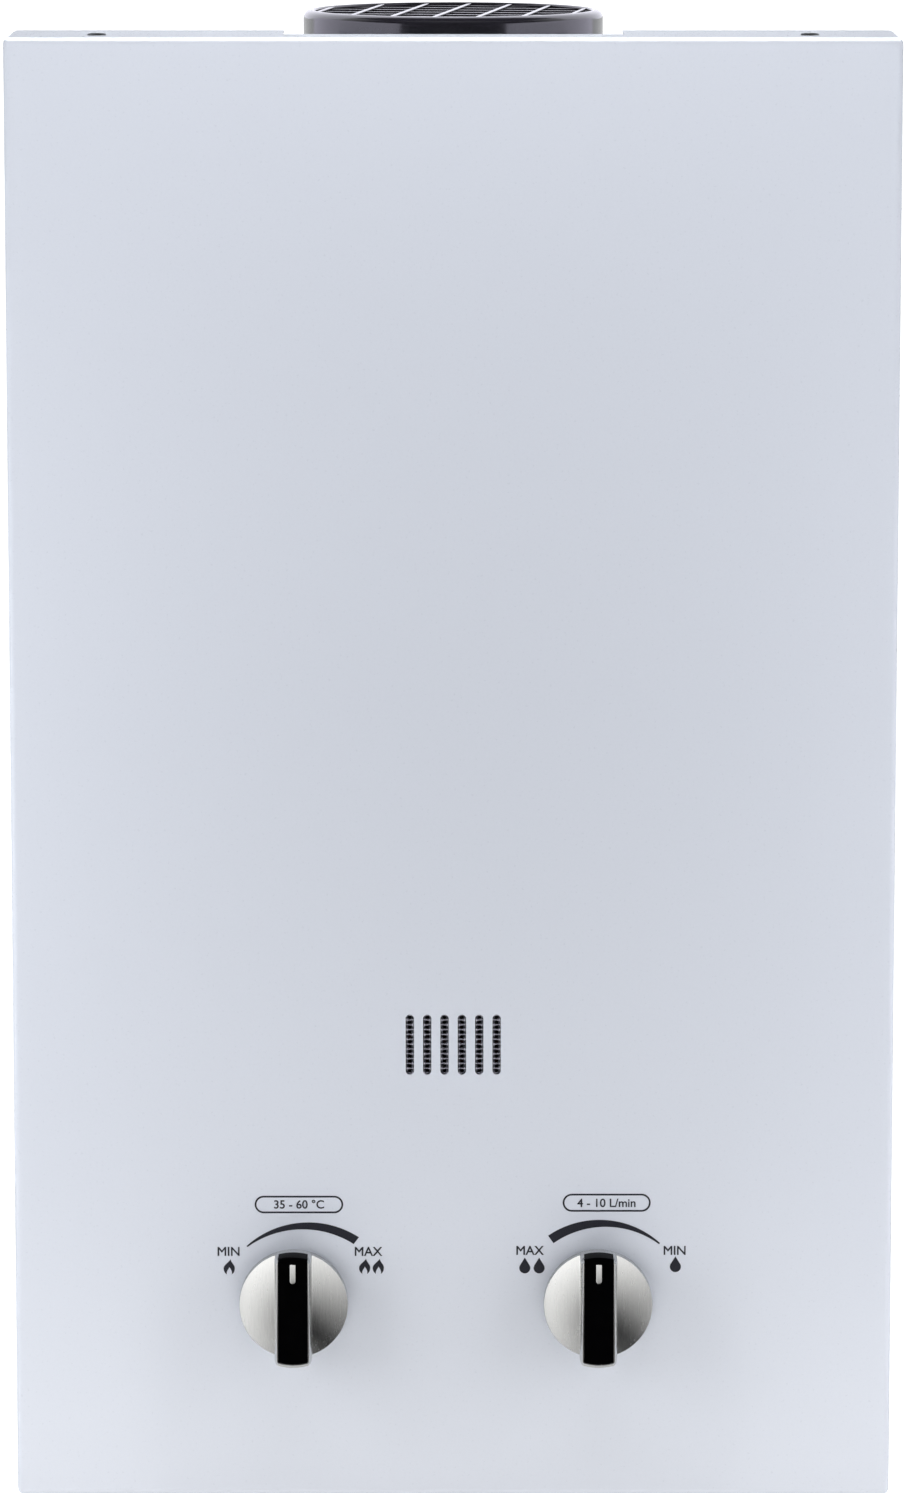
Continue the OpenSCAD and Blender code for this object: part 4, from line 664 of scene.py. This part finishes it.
def weaveTree():
    tree, given, gives = shapeGroup("wovenWire", Across="Float", Up="Float", Wire="Float", Wave="Float",
                                    Columns="Int", Rows="Int", Place="Vector", Finish="Material")
    both = makeNode(tree, "GeometryNodeJoinGeometry")
    upright = ("Z", "X", "Columns", "Rows", "Across", "Up", 1.0)
    level = ("X", "Z", "Rows", "Columns", "Up", "Across", -1.0)
    for axis, across, own, cross, step, pitch, front in (upright, level):
        half = maths(tree, "MULTIPLY", maths(tree, "MULTIPLY", given[pitch], given[cross]), 0.5)
        start, end = (vector(tree, **{axis: maths(tree, "MULTIPLY", half, sign)}) for sign in (-1.0, 1.0))
        line = makeNode(tree, "GeometryNodeCurvePrimitiveLine", {"Start": start, "End": end}).outputs[0]
        count = maths(tree, "MULTIPLY_ADD", given[cross], weave["perPitch"], 1.0)
        path = makeNode(tree, "GeometryNodeResampleCurve", {"Curve": line, "Count": count}).outputs[0]
        phase = maths(tree, "MULTIPLY", maths(tree, "DIVIDE", positionParts(tree)[axis], given[pitch]), math.pi)
        swing = maths(tree, "MULTIPLY", maths(tree, "COSINE", phase), given["Wave"])
        offset = vector(tree, Y=maths(tree, "MULTIPLY", swing, front))
        wire = sweepWire(tree, path, offset, given["Wire"], weave["sides"])
        # one wire at every pitch, every second one turned over
        odd = maths(tree, "MODULO", makeNode(tree, "GeometryNodeInputIndex").outputs[0], 2.0)
        flip = turnBy(tree, vector(tree, **{axis: maths(tree, "MULTIPLY", odd, math.pi)}))
        row = pointRow(tree, across, given[own], given[step])
        feed(tree, both.inputs[0], copiesOn(tree, row, wire, Rotation=flip))
    moved = makeNode(tree, "GeometryNodeTransform", {"Geometry": both.outputs[0], "Translation": given["Place"]})
    return endShape(tree, given, gives, moved.outputs[0])


low, high, place = boxOf("sight_mesh")
place.y = low.y + weave["behind"] + weave["sizes"]["Wire"] + weave["sizes"]["Wave"]
mesh = growMesh("sightMesh", weaveTree(), Place=place, Finish=looks["mesh_steel"], **weave["sizes"])
finishPiece("sightMesh", mesh, "casing", "mesh_steel", ["sight_mesh"], sharp=80.0)
print("sight mesh:", len(mesh.polygons), "faces")


# repeated pieces: one form set out on points, each point with its own turn

def setOutTree():
    tree, given, gives = shapeGroup("setOut", Geometry="Geometry", Form="Object", Finish="Material")
    turn = makeNode(tree, "GeometryNodeInputNamedAttribute", {"Name": "turn"}, data_type="FLOAT_VECTOR")
    copies = copiesOn(tree, given["Geometry"], formOf(tree, given["Form"]),
                      Rotation=turnBy(tree, turn.outputs["Attribute"]))
    return endShape(tree, given, gives, copies)


setOut = setOutTree()


def setOutPiece(name, form, places, body, slot, *replaced, sharp=32.0):
    points = bpy.data.meshes.new(name + "Points")
    points.from_pydata([place for place, turn in places], [], [])
    turns = points.attributes.new("turn", "FLOAT_VECTOR", "POINT")
    for i, (place, turn) in enumerate(places):
        turns.data[i].vector = turn
    carrier = bpy.data.objects.new(name + "Form", form)
    scene.collection.objects.link(carrier)
    mesh = growMesh(name, setOut, points, Form=carrier, Finish=looks[slot])
    bpy.data.objects.remove(carrier)
    return finishPiece(name, mesh, body, slot, replaced, sharp)


# flue grille: long bars over cross bars, their ends cut to the collar's inside
grille = {"radius": 53.0 * mm, "turn": math.radians(-8.0), "ease": 0.25 * mm, "sink": 0.05 * mm, "drop": 0.35 * mm,
          "long": {"width": 1.6 * mm, "row": {"Pitch": 16.05 * mm, "Count": 7, "Shift": -0.9 * mm}},
          "cross": {"width": 2.6 * mm, "row": {"Pitch": 16.0 * mm, "Count": 7, "Shift": 0.0}}}


def barTree():
    tree, given, gives = shapeGroup("barRow", Form="Object", Radius="Float", Pitch="Float", Count="Int",
                                    Shift="Float", Turn="Float", Place="Vector", Finish="Material")
    row = pointRow(tree, "X", given["Count"], given["Pitch"], given["Shift"])
    bars = makeNode(tree, "GeometryNodeRealizeInstances", {0: copiesOn(tree, row, formOf(tree, given["Form"]))})
    # a bar is drawn from -1 to 1 and takes the length of its chord
    at, radius = positionParts(tree), given["Radius"]
    room = maths(tree, "SUBTRACT", maths(tree, "MULTIPLY", radius, radius), maths(tree, "MULTIPLY", at["X"], at["X"]))
    chord = vector(tree, X=at["X"], Y=maths(tree, "MULTIPLY", maths(tree, "SQRT", room), at["Y"]), Z=at["Z"])
    cut = makeNode(tree, "GeometryNodeSetPosition", {"Geometry": bars.outputs[0], "Position": chord})
    moved = makeNode(tree, "GeometryNodeTransform", {"Geometry": cut.outputs[0], "Translation": given["Place"],
                                                     "Rotation": turnBy(tree, vector(tree, Z=given["Turn"]))})
    return endShape(tree, given, gives, moved.outputs[0])


def barForm(width, height):
    ease = grille["ease"]
    right, upper = width / 2 - ease, height - ease
    section = []
    for i, corner in enumerate(((right, upper), (-right, upper), (-right, ease), (right, ease))):
        section += arcRun(corner, ease, quarterTurn * i, quarterTurn, 3)
    work = bmesh.new()
    loftInto(work, [[(x, y, z) for x, z in section] for y in (-1, 1)], caps=True)
    return meshFrom("barForm", work)


low, high, middle = boxOf("flue_grille")
barRule = barTree()
work = bmesh.new()
for layer, turn, base, top in (("long", 0, middle.z - grille["sink"], high.z - grille["drop"]),
                               ("cross", quarterTurn, low.z, middle.z)):
    spec = grille[layer]
    carrier = bpy.data.objects.new("barForm", barForm(spec["width"], top - base))
    scene.collection.objects.link(carrier)
    work.from_mesh(growMesh(layer + "Bars", barRule, Form=carrier, Radius=grille["radius"],
                            Turn=grille["turn"] + turn, Place=(middle.x, middle.y, base),
                            Finish=looks["flue_black"], **spec["row"]))
    bpy.data.objects.remove(carrier)
finishPiece("flueGrille", meshFrom("flueGrille", work), "casing", "flue_black", ["flue_grille"])
print("grille:", grille["long"]["row"]["Count"], "long bars,", grille["cross"]["row"]["Count"], "cross bars")

# pan-head screws with a cross recess, along the cover's upper and lower edges
screw = {"radius": 3.4 * mm, "height": 0.7 * mm, "shank": 1.95 * mm, "reach": 5.0 * mm, "arm": 1.9 * mm, "steps": 48,
         "slot": 0.42 * mm, "depth": 0.5 * mm, "taper": 0.8, "turn": 0.35,
         "head": ((0.8, 1.0), (0.93, 0.85), (1.0, 0.5), (1.0, 0.0)),  # shares of radius and height
         "places": [(x * mm, -149.25 * mm, z * mm) for z in (275, -275) for x in (-131, 131)]}


def screwForm():
    height, arm, slot, taper = (screw[key] for key in ("height", "arm", "slot", "taper"))
    cross = []
    for i in range(4):
        turn = Matrix.Rotation(i * quarterTurn, 2)
        cross += [turn @ Vector(corner) for corner in ((arm, -slot), (arm, slot), (slot, slot))]
    levels = [(screw["radius"] * wide, height * tall) for wide, tall in screw["head"]]
    levels += [(screw["shank"], 0.0), (screw["shank"], -screw["reach"])]
    work = bmesh.new()
    rows = loftInto(work, [[polar(radius, turn, z) for turn in turnsOf(screw["steps"])] for radius, z in levels])
    recess = loftInto(work, [[(p.x, p.y, height) for p in cross],
                             [(p.x * taper, p.y * taper, height - screw["depth"]) for p in cross]])
    edges = [work.edges.get((ring[i - 1], ring[i])) for ring in (rows[0], recess[0]) for i in range(len(ring))]
    bmesh.ops.triangle_fill(work, use_beauty=True, edges=edges)
    work.faces.new(recess[1])
    work.faces.new(rows[-1])
    return meshFrom("screwForm", work)


places = [(place, (0 if place[2] > 0 else math.pi, 0, screw["turn"])) for place in screw["places"]]
setOutPiece("coverScrews", screwForm(), places, "casing", "zinc_steel", "cover_screws")
print("screws:", len(screw["places"]))

# pipe nipples with a helical thread, and their chamfered nuts
thread = {"radius": 10.48 * mm, "pitch": 1.814 * mm, "depth": 1.05 * mm, "bore": 6.5 * mm, "steps": 72, "perTurn": 8,
          "fadeIn": 0.6, "fadeOut": 0.9, "crest": 1.15, "slope": 2.6, "ease": 0.4 * mm, "overlap": 0.1 * mm,
          "nipples": {"gas_nipple": "gasNipple", "cold_nipple": "coldNipple", "hot_nipple": "hotNipple"}}
nut = {"flat": 13.5 * mm, "bore": 10.6 * mm, "chamfer": 0.55, "face": 0.97, "steps": 96, "turn": 0.3}
nutLow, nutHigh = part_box("nipple_nuts")


def threadInto(work, middle, top, bottom):
    steps, pitch, depth, bore, ease = (thread[key] for key in ("steps", "pitch", "depth", "bore", "ease"))
    root = thread["radius"] - depth
    count = max(2, round((top - bottom) / pitch * thread["perTurn"]))
    rings = [[(bore, top)] * steps, [(root, top)] * steps]
    for k in range(1, count):
        z = top + (bottom - top) * k / count
        fade = min(1.0, (top - z) / (thread["fadeIn"] * pitch), (z - bottom) / (thread["fadeOut"] * pitch))
        shares = [((z - bottom) / pitch + i / steps) % 1.0 for i in range(steps)]
        crests = [min(1.0, max(0.0, thread["crest"] - abs(share - 0.5) * thread["slope"])) for share in shares]
        rings.append([(root + depth * crest * fade, z) for crest in crests])
    rings += [[(root, bottom)] * steps, [(bore + ease, bottom)] * steps, [(bore, bottom + ease)] * steps]
    axis = Vector((middle.x, middle.y, 0))
    turns = turnsOf(steps)
    loftInto(work, [[axis + polar(radius, turn, z) for turn, (radius, z) in zip(turns, ring)] for ring in rings],
             loop=True)


nippleAt = []
for node, name in thread["nipples"].items():
    low, high, middle = boxOf(node)
    nippleAt.append(middle)
    work = solidCopy(node)
    bmesh.ops.bisect_plane(work, geom=work.verts[:] + work.edges[:] + work.faces[:], plane_no=(0, 0, 1),
                           plane_co=(0, 0, nutLow.z + thread["overlap"]), clear_inner=True)
    bmesh.ops.holes_fill(work, edges=[edge for edge in work.edges if edge.is_boundary])
    threadInto(work, middle, nutLow.z, low.z)
    finishPiece(name, meshFrom(name, work), "casing", "brass", [node])


def nutForm():
    height, flat, bore = nutHigh.z - nutLow.z, nut["flat"], nut["bore"]
    face = flat * nut["face"]
    sides = []
    for turn in turnsOf(nut["steps"]):
        corner = flat / math.cos(turn % (math.pi / 3) - math.pi / 6)
        drop = (corner - face) * nut["chamfer"]
        levels = ((bore, 0), (face, 0), (corner, drop), (corner, height - drop), (face, height), (bore, height))
        sides.append([polar(radius, turn, z) for radius, z in levels])
    work = bmesh.new()
    loftInto(work, sides, loop=True)
    return meshFrom("nutForm", work)


places = [((at.x, at.y, nutLow.z), (0, 0, nut["turn"] * i)) for i, at in enumerate(nippleAt)]
setOutPiece("nippleNuts", nutForm(), places, "casing", "zinc_steel", "nipple_nuts", sharp=25.0)
print("pipes:", len(nippleAt), "nipples and their nuts")

# battery lid with finger ribs
lid = {"ribs": 7, "pitch": 2.2 * mm, "width": 1.1 * mm, "height": 0.5 * mm, "inset": 9.0 * mm, "margin": 5.0 * mm,
       "sink": 0.05 * mm, "edge": 0.5 * mm, "edgeSteps": 3, "edgeAngle": math.radians(40),
       # shares of half the width and of the height
       "section": ((-1, 0), (-0.75, -0.7), (-0.3, -1), (0.3, -1), (0.75, -0.7), (1, 0))}
piece = finishPiece("batteryLid", mergedCopy("batteryLid", "battery_lid"), "battery_lid", "black_plastic",
                    ["battery_lid"])
bevel = piece.modifiers.new("softEdges", "BEVEL")
bevel.width, bevel.segments, bevel.harden_normals = lid["edge"], lid["edgeSteps"], True
bevel.limit_method, bevel.angle_limit = "ANGLE", lid["edgeAngle"]


def ribForm(length):
    section = [(wide * lid["width"] / 2, tall * lid["height"]) for wide, tall in lid["section"]]
    work = bmesh.new()
    loftInto(work, [[(x, y, z) for y, z in section] for x in (-length / 2, length / 2)], caps=True)
    return meshFrom("ribForm", work)


low, high, middle = boxOf("battery_lid")
ribs = [((middle.x, high.y - lid["inset"] - i * lid["pitch"], low.z + lid["sink"]), (0, 0, 0))
        for i in range(lid["ribs"])]
setOutPiece("lidRibs", ribForm(high.x - low.x - 2 * lid["margin"]), ribs, "battery_lid", "black_plastic")
print("lid:", lid["ribs"], "ribs")

# springs: close-wound at both ends, open between
spring = {"plunger": {"wire": 0.55 * mm, "turns": 6.0, "stroke": 4.0 * mm},
          "lid": {"wire": 0.45 * mm, "turns": 4.0, "tip": 0.6}, "close": 1.02, "perTurn": 40, "sides": 12}


def coilTree():
    tree, given, gives = shapeGroup("woundCoil", Turns="Float", Base="Float", Tip="Float", Height="Float",
                                    Wire="Float", Finish="Material")
    turns = given["Turns"]
    closed = maths(tree, "MULTIPLY", maths(tree, "MULTIPLY", turns, given["Wire"]), 2 * spring["close"])
    coil = makeNode(tree, "GeometryNodeCurveSpiral", {
        "Resolution": spring["perTurn"], "Rotations": turns, "Height": closed, "Start Radius": given["Base"],
        "End Radius": given["Tip"]})
    # the turns between the two end ones are drawn apart to the full height
    endTurn = maths(tree, "DIVIDE", 1.0, turns)
    along = makeNode(tree, "GeometryNodeSplineParameter").outputs["Factor"]
    drawn = stretchValue(tree, along, 0.0, maths(tree, "SUBTRACT", given["Height"], closed), endTurn,
                         maths(tree, "SUBTRACT", 1.0, endTurn))
    wire = sweepWire(tree, coil.outputs[0], vector(tree, Z=drawn), given["Wire"], spring["sides"])
    return endShape(tree, given, gives, wire)


coilRule = coilTree()


def coilPiece(name, spec, base, tip, length, places, body, node):
    wire = spec["wire"]
    form = growMesh(name + "Coil", coilRule, Turns=spec["turns"], Base=base - wire, Tip=tip - wire,
                    Height=length - 2 * wire, Wire=wire, Finish=looks["zinc_steel"])
    return setOutPiece(name, form, places, body, "zinc_steel", node, sharp=80.0)


low, high, middle = boxOf("plunger_spring")
spec, length, outer = spring["plunger"], high.x - low.x, (high.z - low.z) / 2
piece = coilPiece("plungerSpring", spec, outer, outer, length,
                  [((low.x + spec["wire"], middle.y, middle.z), (0, quarterTurn, 0))], "casing", "plunger_spring")
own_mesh(piece)
low, high, middle = boxOf("lid_springs")
spec, outer = spring["lid"], (high.y - low.y) / 2
coilPiece("lidSprings", spec, outer, outer * spec["tip"], high.z - low.z,
          [((x, middle.y, low.z + spec["wire"]), (0, 0, 0)) for x in (low.x + outer, high.x - outer)],
          "battery_lid", "lid_springs")
print("springs: one on the plunger, two on the lid")

# studio: pale floor, white backdrop light, soft boxes and cards for the gloss
studio = {
    "floor": {"z": -0.312, "x": (-6, 6), "y": (-6, 12), "white": 1.02, "glow": 0.06},
    "sky": {"colour": (0.97, 0.985, 1.0), "front": 0.03, "back": 0.8, "turn": (-0.3, 0.4), "top": 0.22,
            "rise": (0.5, 0.95), "seen": 1.06},
    "boxes": {
        "frontLeft": {"place": (-0.75, -1.25, 0.0), "aim": (0, -0.16, -0.05), "size": (0.3, 0.8), "power": 0.08},
        "sideLeft": {"place": (-0.46, -0.36, 0.0), "aim": (0, -0.16, 0), "size": (0.2, 0.46), "power": 1.25},
        "sideRight": {"place": (0.46, -0.36, -0.01), "aim": (0, -0.16, 0), "size": (0.2, 0.52), "power": 1.1},
        "low": {"place": (0, -0.31, -0.308), "aim": (0, -0.31, 1), "size": (0.5, 0.25), "power": 0.34,
                "shadow": False, "colour": (1.0, 0.96, 0.88)},
        "top": {"place": (0, -0.42, 0.62), "aim": (0, -0.16, 0.28), "size": (0.6, 0.2), "power": 1.92},
        "roofEdge": {"place": (0, -0.13, 0.335), "aim": (0, -0.13, 0), "size": (0.4, 0.03), "power": 0.12}},
    "knobCard": {"ahead": 0.026, "drop": 0.0087, "x": (-0.056, 0.056), "z": (-0.1, 0.065), "strength": 1.3,
                 "colour": (1, 1, 1), "fan": {"bright": math.radians(125), "round": 0.65, "reach": 0.04, "out": 0.7,
                                              "most": 1.2}},
    "collarCard": {"x": (-0.6, 0.6), "y": (-0.8, 0.45), "z": (-0.05, 0.5), "strength": 1.35,
                   "colour": (0.86, 0.84, 1.0)},
    "lipCard": {"x": (-0.9, 0.9), "y": (0.1, 1.2), "z": (0.73, 0.27), "strength": 1.4, "colour": (0.9, 0.9, 1.0)},
    "meshCard": {"x": (-0.4, 0.4), "y": (-0.55, -0.55), "z": (-0.31, 0.0), "strength": 1.8,
                 "colour": (0.95, 0.92, 1.0)},
    "bendCard": {"x": (-0.6, 0.6), "y": (-0.4, 0.2), "z": (0.95, 0.95), "strength": 9.0, "colour": (1, 1, 1)}}

spec = studio["sky"]
scene.world = bpy.data.worlds.new("studioSky")
scene.world.use_nodes = True
tree = scene.world.node_tree
sky = tree.nodes["Background"]
sky.inputs["Color"].default_value = (*spec["colour"], 1)
heading = splitVector(tree, makeNode(tree, "ShaderNodeTexCoord").outputs["Generated"])
around = stretchValue(tree, heading["Y"], spec["front"], spec["back"], *spec["turn"])
above = stretchValue(tree, heading["Z"], 0.0, spec["top"], *spec["rise"])
seen = maths(tree, "MULTIPLY", makeNode(tree, "ShaderNodeLightPath").outputs["Is Camera Ray"], spec["seen"])
feed(tree, sky.inputs["Strength"], maths(tree, "MAXIMUM", seen, maths(tree, "MAXIMUM", around, above)))

for name, box in studio["boxes"].items():
    lamp = bpy.data.lights.new(name, "AREA")
    lamp.shape, lamp.size, lamp.size_y = "RECTANGLE", *box["size"]
    lamp.energy = box["power"]
    lamp.color = box.get("colour", (1, 1, 1))
    lamp.use_shadow = box.get("shadow", True)
    holder = bpy.data.objects.new(name, lamp)
    holder.location = box["place"]
    holder.rotation_euler = (Vector(box["aim"]) - Vector(box["place"])).to_track_quat("-Z", "Y").to_euler()
    holder.visible_camera = holder.visible_glossy = False
    scene.collection.objects.link(holder)

spec = studio["floor"]
floorLook = finishLook("paleFloor", (0.86, 0.86, 0.86), (0.9, 0.9, 0.9), 0.5, 0.65, grain=6.0,
                       Emission_Color=(1, 1, 1, 1))
tree = floorLook.node_tree
shader = tree.nodes["Principled BSDF"]
seen = makeNode(tree, "ShaderNodeLightPath").outputs["Is Camera Ray"]
feed(tree, shader.inputs["Emission Strength"], maths(tree, "MULTIPLY_ADD", seen, spec["white"], spec["glow"]))
# clear when seen from below, so that the underside can be looked at
oneWay = makeNode(tree, "ShaderNodeMixShader", {
    0: makeNode(tree, "ShaderNodeNewGeometry").outputs["Backfacing"], 1: shader.outputs[0],
    2: makeNode(tree, "ShaderNodeBsdfTransparent").outputs[0]})
feed(tree, tree.nodes["Material Output"].inputs["Surface"], oneWay.outputs[0])


def stagePlane(name, corners, look):
    mesh = bpy.data.meshes.new(name)
    mesh.from_pydata(corners, [], [(0, 1, 2, 3)])
    mesh.materials.append(look)
    plane = bpy.data.objects.new(name, mesh)
    scene.collection.objects.link(plane)
    return plane


(x0, x1), (y0, y1), z = spec["x"], spec["y"], spec["z"]
stagePlane("paleFloor", [(x0, y0, z), (x1, y0, z), (x1, y1, z), (x0, y1, z)], floorLook)


def fanLight(tree, middle, fan, strength):
    # brightest to one side of the middle, and rising outwards
    place = makeNode(tree, "ShaderNodeTexCoord").outputs["Object"]
    away = vectorMaths(tree, "SUBTRACT", place, middle)
    heading = (math.cos(fan["bright"]), 0, math.sin(fan["bright"]))
    lean = vectorMaths(tree, "DOT_PRODUCT", vectorMaths(tree, "NORMALIZE", away), heading)
    turned = maths(tree, "POWER", maths(tree, "MULTIPLY_ADD", lean, 0.5, 0.5), fan["round"])
    reach = maths(tree, "DIVIDE", vectorMaths(tree, "LENGTH", away), fan["reach"])
    outward = maths(tree, "MINIMUM", maths(tree, "POWER", reach, fan["out"]), fan["most"])
    return maths(tree, "MULTIPLY", maths(tree, "MULTIPLY", turned, outward), strength)


def glossCard(name, spec, corners, receivers, middle=None):
    # light that only the gloss of the named pieces sees
    look = finishLook(name, (0.004, 0.004, 0.004), (0.006, 0.006, 0.006), 0.9, 1.0, grain=6.0,
                      Emission_Color=(*spec["colour"], 1), Emission_Strength=spec["strength"])
    if "fan" in spec:
        tree = look.node_tree
        feed(tree, tree.nodes["Principled BSDF"].inputs["Emission Strength"],
             fanLight(tree, middle, spec["fan"], spec["strength"]))
    card = stagePlane(name, corners, look)
    card.visible_camera = card.visible_diffuse = card.visible_shadow = False
    group = bpy.data.collections.new(name + "Sees")
    for receiver in receivers:
        group.objects.link(bpy.data.objects[receiver])
    card.light_linking.receiver_collection = group


card = studio["knobCard"]
(x0, x1), (z0, z1) = card["x"], card["z"]
for side in ("gas", "water"):
    low, high, middle = boxOf(side + "_knob")
    middle = Vector((middle.x, low.y - card["ahead"], middle.z - card["drop"]))
    corners = [middle + Vector(corner) for corner in ((x0, 0, z0), (x0, 0, z1), (x1, 0, z1), (x1, 0, z0))]
    glossCard(side + "Card", card, corners, [side + "KnobShell", side + "KnobPointer"], middle)
flue = ["flueCollar", "flueGrille"]
card = studio["collarCard"]
(y0, y1), (z0, z1) = card["y"], card["z"]
for name, x in zip(("leftCard", "rightCard"), card["x"]):
    glossCard(name, card, [(x, y0, z0), (x, y1, z0), (x, y1, z1), (x, y0, z1)], flue)
for name, receivers in (("lipCard", flue), ("bendCard", ["frontCover"]), ("meshCard", ["sightMesh"])):
    card = studio[name]
    (x0, x1), (y0, y1), (z0, z1) = card["x"], card["y"], card["z"]
    glossCard(name, card, [(x0, y0, z0), (x1, y0, z0), (x1, y1, z1), (x0, y1, z1)], receivers)
print("studio: floor, sky and", len(studio["boxes"]), "soft boxes")

bpy.context.view_layer.update()
